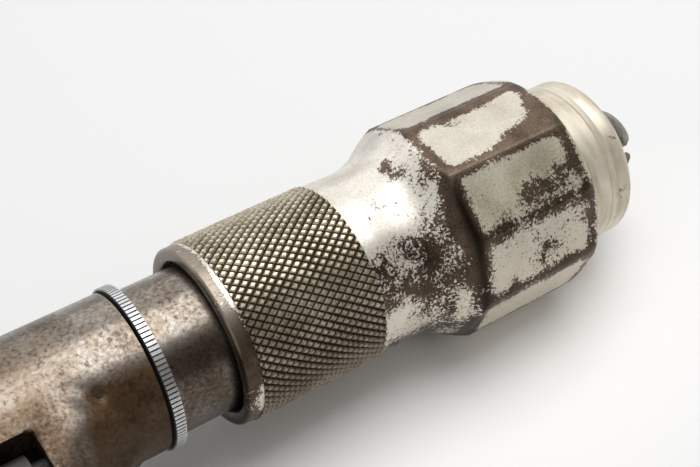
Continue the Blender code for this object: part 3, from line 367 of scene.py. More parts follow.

# %% [markdown]
# ## Plain steels
# Pawls, springs and bearings are steels of one tone each: nearly black, blued, or polished. One
# short function makes all three, because only their numbers differ. The selector ring needs one thing more,
# dirt in the gaps of its coin edge. The axis group finds it, as it tells how high a point stands in a gap.


# %% Plain steels
def plain_steel(name, scale, speckle, dark, light, roughest, smoothest):
    """A steel whose colour and roughness follow the patina's mottle and nothing else."""
    made, tree, shader = new_material(name)
    mottle = group_in(tree, patina, place_of(tree), Scale=scale, Speckle=speckle)["Mottle"]
    wire(tree, blend(tree, mottle, dark, light), shader.inputs["Base Color"])
    wire(tree, span(tree, mottle, 0.0, 1.0, roughest, smoothest), shader.inputs["Roughness"])
    return made


TOOL_STEEL = plain_steel("tool_steel", 160.0, 0.7, (0.030, 0.028, 0.026), (0.080, 0.076, 0.072), 0.62, 0.5)
SPRING_STEEL = plain_steel("blued_spring", 240.0, 0.4, (0.10, 0.11, 0.14), (0.24, 0.25, 0.30), 0.42, 0.28)
BEARING_STEEL = plain_steel("polished_bearing", 300.0, 0.3, (0.52, 0.52, 0.53), (0.68, 0.68, 0.69), 0.3, 0.16)
print("tool, spring and bearing steel ready")

# %% Ring steel
RING_STEEL, tree, shader = new_material("ring_steel")
place = place_of(tree)
mottle = group_in(tree, patina, place, Scale=200.0, Speckle=0.6)["Mottle"]
raised = group_in(tree, about, place, Bottom=13.1 * MM, Top=13.4 * MM)["Raised"]
bright = blend(tree, mottle, (0.42, 0.42, 0.42), (0.68, 0.685, 0.69))
wire(tree, blend(tree, raised, (0.085, 0.083, 0.080), bright), shader.inputs["Base Color"])
wire(tree, span(tree, raised, 0.0, 1.0, 0.8, 0.42), shader.inputs["Roughness"])
print("ring steel ready")

# %% [markdown]
# ## Collar plating
# The nose collar has kept its plating, which has yellowed in faint rings and come off in a few flecks. Noise
# that is squeezed along the axis by a Mapping node runs round the collar as such rings do. A Metallic value
# between paint and metal gives a milky shine, as old nickel has.

# %% Collar plating
COLLAR_PLATING, tree, shader = new_material("collar_plating", metallic=0.4)
place = place_of(tree)
along = node(tree, "ShaderNodeMapping")
along.inputs["Scale"].default_value = (3.0, 1.0, 1.0)
wire(tree, place, along.inputs["Vector"])
tarnish = noise(tree, along.outputs["Vector"], 110.0, 5.0, 0.62, 0.3)
bare = group_in(tree, flaking, place, Scale=210.0, Wear=0.33, Broad=0.8, Ragged=0.4)["Bare"]
tone = blend(tree, span(tree, tarnish, 0.36, 0.60), (0.52, 0.450, 0.335), (0.72, 0.66, 0.54))
wire(tree, blend(tree, bare, tone, (0.17, 0.13, 0.10)), shader.inputs["Base Color"])
wire(tree, span(tree, bare, 0.0, 1.0, 0.38, 0.5), shader.inputs["Roughness"])
print("collar plating ready")

# %% [markdown]
# ## Flaked nickel
# The shell was nickel plated. The plating has stayed on the flats, where it is dull, and on the upper side of
# the waist, where it still shines. It has gone from the corners, the crease behind the flats and the lower
# side, and brown steel shows there. Painting this by hand would need an image. Here the mesh carries it in
# attributes: wear says where the plating is thin, and the flaking group tears the border into ragged patches.

# %% Flaked nickel
FLAKED_NICKEL, tree, shader = new_material("flaked_nickel")
place = place_of(tree)
mottle, pits = group_in(tree, patina, place, Scale=180.0, Speckle=1.2)
bare = group_in(tree, flaking, place, Scale=190.0, Wear=attribute(tree, "wear"), Broad=1.1,
                Ragged=attribute(tree, "fleck"))["Bare"]
dull = attribute(tree, "dull")
nickel = blend(tree, mottle, (0.60, 0.55, 0.47), (0.84, 0.80, 0.73))
nickel = blend(tree, dull, nickel, blend(tree, mottle, (0.47, 0.42, 0.345), (0.64, 0.595, 0.515)))
frosted = blend(tree, mottle, (0.28, 0.272, 0.165), (0.62, 0.60, 0.44))
nickel = blend(tree, attribute(tree, "olive"), nickel, frosted)
nickel = blend(tree, pits, (0.36, 0.30, 0.23), nickel)
steel = blend(tree, mottle, (0.056, 0.038, 0.027), (0.170, 0.124, 0.088))
# Pale steel: bare on the worn corners of the flats, and a painted highlight on the upper side of the sleeve's
# lip.
steel = blend(tree, attribute(tree, "pale_steel"), steel, (0.46, 0.41, 0.34))
steel = blend(tree, pits, (0.034, 0.024, 0.017), steel)
# Grime, and painted shade in the crease and on the sleeve's rear face.
steel = blend(tree, attribute(tree, "grime_and_shade"), steel, (0.020, 0.014, 0.010))
# Painted shade: steel and nickel are darkened on the side that looks down at the table.
under = maths(tree, "MULTIPLY", group_in(tree, about, place)["Painted Shade"], 0.5)
steel = blend(tree, under, steel, (0.030, 0.021, 0.015))
nickel = blend(tree, under, nickel, (0.68, 0.60, 0.475))
wire(tree, blend(tree, bare, nickel, steel), shader.inputs["Base Color"])
plated = span(tree, dull, 0.0, 1.0, 0.33, 0.42)
polish = maths(tree, "ADD", plated, maths(tree, "MULTIPLY", bare, 0.04))
wire(tree, polish, shader.inputs["Roughness"])
wire(tree, span(tree, bare, 0.0, 1.0, 0.5, 1.0), shader.inputs["Metallic"])
bump(tree, shader, maths(tree, "SUBTRACT", 1.0, bare), strength=0.5, distance=0.06 * MM)
print("flaked nickel ready")

# %% [markdown]
# ## Knurl steel
# The points of the knurl are worn bright and its grooves are full of old oil and dust. An Ambient Occlusion
# node could find the grooves by tracing rays. The height over the groove's bottom, which the axis group
# gives, says the same without any.

# %% Knurl steel
KNURL_STEEL, tree, shader = new_material("knurl_steel")
place = place_of(tree)
mottle = group_in(tree, patina, place, Scale=150.0, Speckle=2.2)["Mottle"]
raised, under = group_in(tree, about, place, Bottom=14.84 * MM, Top=15.14 * MM)
worn = blend(tree, mottle, (0.33, 0.272, 0.188), (0.82, 0.745, 0.595))
# Painted shade: the worn points are darkened on the side that looks down at the table.
worn = blend(tree, maths(tree, "MULTIPLY", under, 0.7), worn, (0.085, 0.062, 0.042))
wire(tree, blend(tree, raised, (0.030, 0.023, 0.016), worn), shader.inputs["Base Color"])
wire(tree, span(tree, raised, 0.0, 1.0, 0.75, 0.40), shader.inputs["Roughness"])
print("knurl steel ready")


# %% [markdown]
# ## Stained wood
# Head and grip are turned from a close-grained wood, stained brown and oiled. Noise that is stretched along
# the main axis gives the grain, a finer one the dark pores, and a thin coat the sheen of a handled surface.


# %% Stained wood
def stained_wood(name, dark, light):
    """Grain along X with dark pores, under a thin coat."""
    made, tree, shader = new_material(name, 0.42, 0.0)
    stretch = node(tree, "ShaderNodeMapping")
    stretch.inputs["Scale"].default_value = (0.12, 1.0, 1.0)
    wire(tree, place_of(tree), stretch.inputs["Vector"])
    grain = noise(tree, stretch.outputs["Vector"], 320.0, 6.0, 0.65, 0.6)
    flecks = noise(tree, stretch.outputs["Vector"], 1400.0, 3.0, 0.6)
    pore = tuple(v * 0.5 for v in dark)
    tone = blend(tree, span(tree, grain, 0.35, 0.65), dark, light)
    tone = blend(tree, span(tree, flecks, 0.30, 0.42), pore, tone)
    wire(tree, tone, shader.inputs["Base Color"])
    wire(tree, span(tree, grain, 0.3, 0.7, 0.5, 0.34), shader.inputs["Roughness"])
    shader.inputs["Coat Weight"].default_value = 0.25
    shader.inputs["Coat Roughness"].default_value = 0.25
    bump(tree, shader, flecks, strength=0.2, distance=0.1 * MM)
    return made


HEAD_WOOD = stained_wood("stained_beech", (0.10, 0.038, 0.017), (0.30, 0.135, 0.055))
GRIP_WOOD = stained_wood("stained_grip", (0.10, 0.040, 0.018), (0.30, 0.140, 0.060))
print("wood ready")

# %% Finish of each slot
FINISH = {
    "forged_steel": AGED_STEEL, "bright_ring_steel": RING_STEEL, "worn_nickel": FLAKED_NICKEL,
    "collar_plating": COLLAR_PLATING, "tool_steel": TOOL_STEEL, "spring_steel": SPRING_STEEL,
    "bearing_steel": BEARING_STEEL, "stained_beech": HEAD_WOOD, "stained_grip": GRIP_WOOD,
}
print("finishes:", len(FINISH))

# %% [markdown]
# ## The shell: sleeve, waist and ten-sided bulb
# On the real chuck this is one turned piece whose bulb was then ground to ten flats. It could be a turned
# mesh cut by a ten-sided prism, with a bevel on the new edges. Here the radius at each angle is the smaller
# of the turned radius and the flat's distance, and the two are blended over a tenth of a millimetre. So the
# corners come out softly rounded, as worn corners are, and the points stay in rows that can carry attributes.

# %% Shell outline
SLEEVE_R = 15.0 * MM
WAIST_R, BULB_R = 14.8 * MM, 19.2 * MM
FLARE_START, FLARE_DEG, FLARE_HOLLOW = 31.6 * MM, 32.0, 13.0 * MM
KNURL_START, KNURL_END = 2.6 * MM, 25.0 * MM
KNURL_FLOOR, KNURL_TOP = 14.82 * MM, 15.3 * MM
SHELL_FRONT = SHELL_HIGH[0] - SHELL_LOW[0]
SHOULDER = (3.2 * MM, 1.9 * MM)
FACETS = 10
APOTHEM = SHELL_HIGH[2] - AXIS.z
COUNTERBORE = (5.8 * MM, 12.78 * MM)
THREAD_END, THREAD_R = 33.6 * MM, 11.65 * MM
CAVITY_END, CAVITY_R = 61.9 * MM, 16.36 * MM
FRONT_BORE_R = 13.6 * MM
LIP_ROUND = 0.55 * MM
LIP_CHAMFER = 0.4 * MM
BAND_END = KNURL_END + 2.0 * MM    # the smooth band in front of the knurl
WALL = 0.05 * MM                   # the step down to the knurl's floor leans by this much
EDGE_BLEND = 0.11 * MM


def evenly(start, end, step):
    """Points between two, at about the given step, both left out."""
    count = max(1, round(abs(end[0] - start[0]) / step))
    return [tuple(np.array(start) + (np.array(end) - np.array(start)) * i / count) for i in range(1, count)]


def flare():
    """The straight flare behind the flats and the hollow curve of the waist, from bulb to waist."""
    centre = (FLARE_START, WAIST_R + FLARE_HOLLOW)
    hollow = arc(centre, (FLARE_HOLLOW, FLARE_HOLLOW), FLARE_DEG - 90.0, -90.0, 16)
    run = (BULB_R - hollow[0][1]) / math.tan(math.radians(FLARE_DEG))
    top = (hollow[0][0] + run, BULB_R)
    return [top] + evenly(top, hollow[0], 0.35 * MM) + hollow


front_edge = (SHELL_FRONT - SHOULDER[0], BULB_R)
outer = arc((SHELL_FRONT - SHOULDER[0], BULB_R - SHOULDER[1]), SHOULDER, 0.0, 90.0, 14)
FLARE_END = flare()[0][0]
outer += evenly(front_edge, (FLARE_END, BULB_R), 0.4 * MM) + flare()
outer += evenly((FLARE_START, WAIST_R), (BAND_END, SLEEVE_R), 0.4 * MM)
outer += [(BAND_END, SLEEVE_R - 0.1 * MM), (KNURL_END, SLEEVE_R), (KNURL_END - WALL, KNURL_FLOOR),
          (KNURL_START + WALL, KNURL_FLOOR), (KNURL_START, SLEEVE_R), (1.6 * MM, SLEEVE_R)]
outer += arc((LIP_ROUND, SLEEVE_R - LIP_ROUND), (LIP_ROUND, LIP_ROUND), 90.0, 180.0, 5)
inner = [(0.0, COUNTERBORE[1] + LIP_CHAMFER), (LIP_CHAMFER, COUNTERBORE[1]), COUNTERBORE,
         (COUNTERBORE[0], THREAD_R), (THREAD_END, THREAD_R), (FLARE_END, CAVITY_R), (CAVITY_END, CAVITY_R),
         (CAVITY_END, FRONT_BORE_R), (SHELL_FRONT, FRONT_BORE_R)]
print("shell outline:", len(outer), "outer and", len(inner), "inner points")

# %% Shell mesh
AROUND = 360
angles = np.linspace(0.0, 2 * math.pi, AROUND, endpoint=False)[None, :]
stations = np.array([p[0] for p in outer + inner])[:, None]
radii = np.array([p[1] for p in outer + inner])[:, None]
facet_turn = np.mod(angles + math.pi / FACETS, 2 * math.pi / FACETS) - math.pi / FACETS
flat_r = APOTHEM / np.cos(facet_turn)
softened = -EDGE_BLEND * np.logaddexp(-radii / EDGE_BLEND, -flat_r / EDGE_BLEND)
is_outer = np.arange(len(radii))[:, None] < len(outer)
shell_r = np.where(is_outer & (stations > FLARE_START), softened, radii)
shell = new_piece("faceted_shell", on_axis(stations, shell_r, angles).reshape(-1, 3),
                  ring_faces(len(radii), AROUND), 50.0)
print("shell:", len(shell.data.vertices), "points in rows of", AROUND)

# %% [markdown]
# ### Where the plating has gone
# Wear is a sum of a few plain causes. Corners and ends of the flats rub on the bench. The crease behind the
# flats holds damp. A hand tightens the chuck from below, so the lower side of the waist is bare. Single
# stains come on top. The plating is sound well below one half and gone well above it, and in between the
# flaking group decides. Turns are degrees from the camera's side.


# %% Soft steps and spots
def near(value, centre, width):
    """1 at the centre, falling to nearly 0 at two widths from it."""
    return np.exp(-((value - centre) / width) ** 2)


def step_up(value, start, end):
    """A smooth rise from 0 at the start to 1 at the end."""
    t = np.clip((value - start) / (end - start), 0.0, 1.0)
    return t * t * (3 - 2 * t)


view_turn = np.degrees(angles - VIEW_ANGLE)
view_turn = np.mod(view_turn + 180.0, 360.0) - 180.0


def stain(station_mm, turn_deg, length_mm, width_deg, amount):
    """A soft spot on the shell, given by its middle and its half sizes."""
    across = np.mod(view_turn - turn_deg + 180.0, 360.0) - 180.0
    return amount * np.exp(-((stations / MM - station_mm) / length_mm) ** 2 - (across / width_deg) ** 2)


print("turns run from", round(float(view_turn.min())), "to", round(float(view_turn.max())), "degrees")

# %% Causes of wear
on_flats = step_up(stations, 41.0 * MM, 42.6 * MM)
corner = np.abs(facet_turn) / (math.pi / FACETS)
corner_wear = on_flats * step_up(corner, 0.60, 0.95)
at_shoulder = step_up(stations, 62.0 * MM, 64.6 * MM) * (1 - step_up(stations, 64.6 * MM, 65.8 * MM))
end_wear = on_flats * (1 - step_up(stations, 42.4 * MM, 44.6 * MM) + at_shoulder)
crease = near(stations, 41.0 * MM, 1.3 * MM) * (0.35 + 0.65 * step_up(view_turn, -60.0, -10.0))
lower_start = -1.0 - 7.0 * step_up(stations, 30.0 * MM, 40.0 * MM)
lower_waist = (1 - on_flats) * step_up(view_turn - lower_start, -13.0, 13.0)
lower_waist = lower_waist * (1 - step_up(view_turn, 34.0, 46.0))
under_waist = (1 - on_flats) * step_up(view_turn, 58.0, 74.0)
lip = 1 - step_up(stations, 1.4 * MM, 3.2 * MM)
knurl_floor = is_outer * (stations > KNURL_START) * (stations < KNURL_END)
rear_face = (radii < SLEEVE_R - 0.5 * MM) * (stations < 0.5 * MM)
wear = 0.25 + 0.36 * corner_wear + 0.34 * end_wear + 0.36 * crease + 0.37 * lower_waist
wear = wear + 0.26 * under_waist + 0.42 * lip + 1.0 * knurl_floor
print("worn by use:", round(float((wear > 0.5).mean()), 2), "of all points")

# %% Stains
# Middle (station, turn), half sizes (length, width) and amount. A negative amount is plating that has stayed.
STAINS = [
    (53.0, -51, 9.0, 7, 0.32), (64.0, -30, 3.6, 12, 0.34), (57.0, -23, 5.0, 6, 0.32), (55.0, 8, 8.0, 6, 0.40),
    (53.0, 36, 12.0, 14, 0.14), (48.0, 50, 1.6, 7, 0.30), (60.0, 52, 4.0, 5, 0.30), (61.0, 2, 3.0, 5, 0.30),
    (61.0, -24, 4.0, 6, 0.30), (61.0, -46, 2.0, 5, -0.25), (53.0, -72, 14.0, 13, -0.12),
    (35.0, 48, 6.0, 12, 0.22), (36.8, -46, 1.8, 10, 0.34), (37.0, 60, 1.2, 8, 0.28), (29.5, 9, 2.4, 6, -0.20),
    (38.0, -26, 2.2, 12, 0.17), (34.0, -16, 3.0, 8, 0.15), (30.0, -30, 2.0, 14, 0.12),
    (2.4, -24, 0.7, 16, -0.24), (2.4, 54, 0.8, 9, -0.30),
]
for spot in STAINS:
    wear = wear + stain(*spot)
print("stains:", len(STAINS))

# %% Attributes of the shell
olive = on_flats * near(view_turn, 0.0, 15.0) * 0.8
fleck = 0.9 + 0.8 * step_up(view_turn, -20.0, 20.0) * (1 - step_up(view_turn, 70.0, 90.0))
# Painted shade darkens the crease behind the flats, from the camera's side downwards, and the sleeve's rear
# face; the floor under the knurl is dark with dirt.
grime_and_shade = near(stations, 41.8 * MM, 1.1 * MM) * step_up(view_turn, -30.0, 0.0)
grime_and_shade = grime_and_shade + 0.35 * rear_face + 1.0 * knurl_floor
# Worn corners of the flats are pale bare steel. The pale upper side of the sleeve's lip is a painted
# highlight.
pale_steel = 0.14 * on_flats * step_up(corner, 0.96, 1.0) + 0.46 * lip * (1 - step_up(view_turn, 0.0, 25.0))


def write_attribute(piece, name, values):
    """One number per point, which a material can read by its name."""
    made = piece.data.attributes.new(name, "FLOAT", "POINT")
    made.data.foreach_set("value", np.ascontiguousarray(values, dtype=np.float32).ravel())


MASKS = {"wear": wear, "olive": olive, "fleck": fleck, "grime_and_shade": grime_and_shade, "pale_steel": pale_steel, "dull": on_flats}
for label, values in MASKS.items():
    write_attribute(shell, label, np.broadcast_to(values, shell_r.shape))
dress(shell, FLAKED_NICKEL, "chuck_shell")

# %% [markdown]
# ## The knurl
# A knurling tool rolls two sets of crossing grooves into the sleeve, which leaves rows of small pointed
# diamonds. A bump pattern would be quick, but the sleeve's outline and its sparkle depend on real shapes.
# Geometry Nodes places one cut-off pyramid per diamond, every second row shifted by half a step, and clamps
# the rows that would pass the ends of the knurl. The helpers come first, because the selector ring's coin
# edge uses them too.


# %% Tree helpers
def geometry_tree(name, inputs):
    """A Geometry Nodes tree with named inputs, its two end nodes, and the identifiers of its inputs."""
    tree = bpy.data.node_groups.new(name, "GeometryNodeTree")
    tree.interface.new_socket("Geometry", in_out="OUTPUT", socket_type="NodeSocketGeometry")
    sockets = {}
    for label, kind in inputs:
        sockets[label] = tree.interface.new_socket(label, in_out="INPUT", socket_type=kind).identifier
    return tree, node(tree, "NodeGroupInput"), node(tree, "NodeGroupOutput"), sockets


def combine(tree, x, y, z):
    made = node(tree, "ShaderNodeCombineXYZ")
    for socket, value in zip(made.inputs, (x, y, z)):
        if isinstance(value, (int, float)):
            socket.default_value = value
        else:
            wire(tree, value, socket)
    return made.outputs[0]


def bake_tree(name, tree, sockets, values, material):
    """Runs a tree on an empty mesh and keeps its result as a plain mesh, moved onto the axis."""
    holder = bpy.data.objects.new(name + "_tree", bpy.data.meshes.new(name + "_tree"))
    bpy.context.scene.collection.objects.link(holder)
    modifier = holder.modifiers.new("nodes", "NODES")
    modifier.node_group = tree
    for label, value in values.items():
        modifier[sockets[label]] = value
    modifier[sockets["Material"]] = material
    graph = bpy.context.evaluated_depsgraph_get()
    mesh = bpy.data.meshes.new_from_object(holder.evaluated_get(graph))
    bpy.data.objects.remove(holder, do_unlink=True)
    mesh.name = name
    mesh.transform(Matrix.Translation(AXIS))
    piece = bpy.data.objects.new(name, mesh)
    bpy.context.scene.collection.objects.link(piece)
    return piece


print("tree helpers ready")


# %% Copies round the axis
def round_axis(tree, along, radius, turn):
    """A place from a station, a radius and an angle about X."""
    side = maths(tree, "MULTIPLY", radius, maths(tree, "MULTIPLY", -1.0, maths(tree, "SINE", turn)))
    height = maths(tree, "MULTIPLY", radius, maths(tree, "COSINE", turn))
    return combine(tree, along, side, height)


def copies_on(tree, points, spot, shape, turn, size):
    """Copies of a shape, one for each point, set on their spots, turned about X, scaled and made real."""
    put = node(tree, "GeometryNodeSetPosition")
    wire(tree, points, put.inputs["Geometry"])
    wire(tree, spot, put.inputs["Position"])
    copies = node(tree, "GeometryNodeInstanceOnPoints")
    wire(tree, put.outputs["Geometry"], copies.inputs["Points"])
    wire(tree, shape, copies.inputs["Instance"])
    wire(tree, combine(tree, turn, 0.0, 0.0), copies.inputs["Rotation"])
    wire(tree, size, copies.inputs["Scale"])
    real = node(tree, "GeometryNodeRealizeInstances")
    wire(tree, copies.outputs["Instances"], real.inputs["Geometry"])
    return real.outputs["Geometry"]


def paint_and_end(tree, geometry, given, result):
    """Gives the shapes the tree's material and hands them out."""
    paint = node(tree, "GeometryNodeSetMaterial")
    wire(tree, geometry, paint.inputs["Geometry"])
    wire(tree, given.outputs["Material"], paint.inputs["Material"])
    wire(tree, paint.outputs["Geometry"], result.inputs["Geometry"])


print("copy helpers ready")

# %% Knurl inputs
NUMBER, COUNT = "NodeSocketFloat", "NodeSocketInt"
knurl_tree, given, result, knurl_sockets = geometry_tree("knurl_rows", [
    ("Around", COUNT), ("Rows", COUNT), ("Pitch", NUMBER), ("Start", NUMBER), ("End", NUMBER),
    ("Floor Radius", NUMBER), ("Height", NUMBER), ("Top Share", NUMBER), ("Groove Share", NUMBER),
    ("Material", "NodeSocketMaterial"),
])
around, pitch, seat = given.outputs["Around"], given.outputs["Pitch"], given.outputs["Floor Radius"]
half_pitch = maths(knurl_tree, "MULTIPLY", pitch, 0.5)
print("knurl inputs:", ", ".join(knurl_sockets))

# %% Where each diamond sits
sheet = node(knurl_tree, "GeometryNodeMeshGrid")
wire(knurl_tree, given.outputs["Rows"], sheet.inputs["Vertices X"])
wire(knurl_tree, around, sheet.inputs["Vertices Y"])
index = node(knurl_tree, "GeometryNodeInputIndex").outputs[0]
row = maths(knurl_tree, "FLOOR", maths(knurl_tree, "DIVIDE", index, around))
column = maths(knurl_tree, "MODULO", index, around)
shift = maths(knurl_tree, "MULTIPLY", maths(knurl_tree, "MODULO", row, 2.0), 0.5)
share = maths(knurl_tree, "DIVIDE", maths(knurl_tree, "ADD", column, shift), around)
turn = maths(knurl_tree, "MULTIPLY", share, 2 * math.pi)
along = maths(knurl_tree, "ADD", given.outputs["Start"], maths(knurl_tree, "MULTIPLY", row, half_pitch))
spot = round_axis(knurl_tree, along, seat, turn)
print("knurl tree so far:", len(knurl_tree.nodes), "nodes")

# %% One diamond and its copies
diamond = node(knurl_tree, "GeometryNodeMeshCone")
diamond.inputs["Vertices"].default_value = 4
diamond.inputs["Radius Bottom"].default_value = 1.0
wire(knurl_tree, given.outputs["Top Share"], diamond.inputs["Radius Top"])
wire(knurl_tree, given.outputs["Height"], diamond.inputs["Depth"])
keep = maths(knurl_tree, "SUBTRACT", 1.0, given.outputs["Groove Share"])
long_half = maths(knurl_tree, "MULTIPLY", half_pitch, keep)
wide_half = maths(knurl_tree, "DIVIDE", maths(knurl_tree, "MULTIPLY", seat, math.pi), around)
wide_half = maths(knurl_tree, "MULTIPLY", wide_half, keep)
size = combine(knurl_tree, long_half, wide_half, 1.0)
rows_of_diamonds = copies_on(knurl_tree, sheet.outputs["Mesh"], spot, diamond.outputs["Mesh"], turn, size)
print("a diamond has", diamond.inputs["Vertices"].default_value, "sides")

# %% Clamp the end rows
position = node(knurl_tree, "GeometryNodeInputPosition")
parts = node(knurl_tree, "ShaderNodeSeparateXYZ")
wire(knurl_tree, position.outputs[0], parts.inputs[0])
limited = maths(knurl_tree, "MAXIMUM", parts.outputs[0], given.outputs["Start"])
limited = maths(knurl_tree, "MINIMUM", limited, given.outputs["End"])
clamp = node(knurl_tree, "GeometryNodeSetPosition")
wire(knurl_tree, rows_of_diamonds, clamp.inputs["Geometry"])
wire(knurl_tree, combine(knurl_tree, limited, parts.outputs[1], parts.outputs[2]), clamp.inputs["Position"])
paint_and_end(knurl_tree, clamp.outputs["Geometry"], given, result)
print("knurl tree:", len(knurl_tree.nodes), "nodes")

# %% Knurl mesh
KNURL_AROUND = 66
KNURL_PITCH = 1.94 * MM          # along the axis, from one diamond to the next in line
knurl_rows = int((KNURL_END - KNURL_START) / (KNURL_PITCH / 2)) + 1
knurl = bake_tree("sleeve_knurl", knurl_tree, knurl_sockets, {
    "Around": KNURL_AROUND, "Rows": knurl_rows, "Pitch": KNURL_PITCH, "Start": KNURL_START, "End": KNURL_END,
    "Floor Radius": KNURL_FLOOR, "Height": KNURL_TOP - KNURL_FLOOR, "Top Share": 0.46, "Groove Share": 0.05,
}, KNURL_STEEL)
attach(knurl, "shell")
print("knurl:", knurl_rows, "rows,", len(knurl.data.polygons), "faces")

# %% [markdown]
# ## The nose collar
# A plain plated ring, turned with a fine line round it and a rounded lip. The jaws look out of its mouth. A
# cylinder with a bevel would miss the fine lines, so half of its section is written as a profile and turned.

# %% Nose collar
COLLAR_R = (COLLAR_HIGH[1] - COLLAR_LOW[1]) / 2
COLLAR_FRONT = COLLAR_HIGH[0] - AXIS.x
COLLAR_TAIL = COLLAR_LOW[0] - AXIS.x
COLLAR_REAR = SHELL_FRONT + 0.3 * MM
MOUTH_R, MOUTH_CHAMFER = 9.3 * MM, 0.4 * MM
TAIL_R, TAIL_BORE_R = 13.25 * MM, 12.0 * MM
CONE_LENGTH = 8.3 * MM             # the jaws slide in this cone
LINE_AT, LINE_DEPTH = 72.6 * MM, 0.20 * MM
SCRATCH_AT, SCRATCH_DEPTH = LINE_AT + 1.35 * MM, 0.06 * MM
LIP_R = COLLAR_R - 0.12 * MM       # in front of the line the ring is turned a little smaller
NOSE_ROUND = (1.1 * MM, 1.3 * MM)
profile = arc((COLLAR_FRONT - NOSE_ROUND[0], LIP_R - NOSE_ROUND[1]), NOSE_ROUND, 0.0, 90.0, 10)
profile += [(SCRATCH_AT + 0.15 * MM, LIP_R), (SCRATCH_AT, LIP_R - SCRATCH_DEPTH),
            (SCRATCH_AT - 0.15 * MM, LIP_R)]
profile += [(LINE_AT + 0.3 * MM, LIP_R), (LINE_AT + 0.12 * MM, LIP_R - LINE_DEPTH),
            (LINE_AT - 0.12 * MM, LIP_R - LINE_DEPTH), (LINE_AT - 0.35 * MM, COLLAR_R)]
profile += [(COLLAR_REAR + 0.5 * MM, COLLAR_R), (COLLAR_REAR, COLLAR_R - 0.3 * MM), (COLLAR_REAR, TAIL_R),
            (COLLAR_TAIL, TAIL_R), (COLLAR_TAIL, TAIL_BORE_R), (COLLAR_FRONT - CONE_LENGTH, TAIL_BORE_R),
            (COLLAR_FRONT - MOUTH_CHAMFER, MOUTH_R + 0.13 * MM), (COLLAR_FRONT, MOUTH_R + MOUTH_CHAMFER)]
dress(lathe("plain_collar", profile, 200, 30.0), COLLAR_PLATING, "nose_collar")

# %% [markdown]
# ## Merged copies
# The solids arrive as loose triangles that carry their own flat normals. A copy whose points are merged, and
# whose stored normals are dropped, can be shaded smooth and still keep its sharp edges.


# %% Smooth copies
MERGE_WITHIN = 0.002 * MM


def merged_copy(solid, name, smooth_deg=38.0):
    """A copy of a solid with its points merged, shaded smooth except at edges sharper than smooth_deg."""
    mesh = frame["nodes"][solid].data.copy()
    mesh.name = name
    if "custom_normal" in mesh.attributes:
        mesh.attributes.remove(mesh.attributes["custom_normal"])
    shape = bmesh.new()
    shape.from_mesh(mesh)
    bmesh.ops.remove_doubles(shape, verts=shape.verts, dist=MERGE_WITHIN)
    shape.to_mesh(mesh)
    shape.free()
    mesh.shade_smooth()
    mesh.set_sharp_from_angle(angle=math.radians(smooth_deg))
    piece = bpy.data.objects.new(name, mesh)
    bpy.context.scene.collection.objects.link(piece)
    return piece


print("points merge within", MERGE_WITHIN / MM, "mm")

# %% [markdown]
# ## The selector ring
# A thin ring with a coin edge, turned with a thumb to set the ratchet. The solid's rim is plain, so its
# points are first let down to the bottom of the gaps. The teeth repeat, so Geometry Nodes sets one small
# block per tooth round the rim, with the helpers that the knurl used.

# %% Ring body
RING_LOW, RING_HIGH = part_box("selector_ring")
RING_R = (RING_HIGH[2] - RING_LOW[2]) / 2
RING_FRONT = RING_HIGH[0] - AXIS.x
RING_WIDTH = 1.69 * MM
RING_REAR = RING_FRONT - RING_WIDTH
TOOTH_HEIGHT = 0.34 * MM
RIM_FLOOR = RING_R - TOOTH_HEIGHT
ring = merged_copy("selector_ring", "ring_body", 35.0)
for vert in ring.data.vertices:
    out = Vector((0.0, vert.co.y - AXIS.y, vert.co.z - AXIS.z))
    if out.length > RING_R - 0.1 * MM:
        out *= RIM_FLOOR / out.length
        vert.co.y, vert.co.z = AXIS.y + out.y, AXIS.z + out.z
dress(ring, RING_STEEL, "selector_ring")

# %% Coin edge tree
coin_tree, given, result, coin_sockets = geometry_tree("coin_edge", [
    ("Teeth", COUNT), ("Radius", NUMBER), ("Height", NUMBER), ("Width", NUMBER), ("Middle", NUMBER),
    ("Tooth Share", NUMBER), ("Material", "NodeSocketMaterial"),
])
teeth, seat = given.outputs["Teeth"], given.outputs["Radius"]
line = node(coin_tree, "GeometryNodeMeshLine")
wire(coin_tree, teeth, line.inputs["Count"])
index = node(coin_tree, "GeometryNodeInputIndex").outputs[0]
turn = maths(coin_tree, "MULTIPLY", maths(coin_tree, "DIVIDE", index, teeth), 2 * math.pi)
spot = round_axis(coin_tree, given.outputs["Middle"], seat, turn)
tooth = node(coin_tree, "GeometryNodeMeshCube")
tooth.inputs["Size"].default_value = (1.0, 1.0, 1.0)
step = maths(coin_tree, "DIVIDE", maths(coin_tree, "MULTIPLY", seat, 2 * math.pi), teeth)
wide = maths(coin_tree, "MULTIPLY", step, given.outputs["Tooth Share"])
size = combine(coin_tree, given.outputs["Width"], wide, given.outputs["Height"])
row_of_teeth = copies_on(coin_tree, line.outputs["Mesh"], spot, tooth.outputs["Mesh"], turn, size)
paint_and_end(coin_tree, row_of_teeth, given, result)
print("coin edge tree:", len(coin_tree.nodes), "nodes")

# %% Coin edge
COIN_TEETH = 111
TOOTH_SINK = 0.04 * MM     # each tooth reaches this far into the rim, and is this much narrower than it
coin = bake_tree("ring_coin_edge", coin_tree, coin_sockets, {
    "Teeth": COIN_TEETH, "Radius": (RIM_FLOOR + RING_R - TOOTH_SINK) / 2, "Height": TOOTH_HEIGHT + TOOTH_SINK,
    "Width": RING_WIDTH - TOOTH_SINK, "Middle": (RING_FRONT + RING_REAR) / 2, "Tooth Share": 0.68,
}, RING_STEEL)
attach(coin, "selector")
print("coin edge:", len(coin.data.polygons), "faces")

# %% [markdown]
# ## The other pieces
# The neck, the jaws, the ratchet in its window, the head and the grip have their shape in the solids. Pieces
# that show get a merged copy, so that round walls look round. Pieces shut inside only get their finish,
# further down.

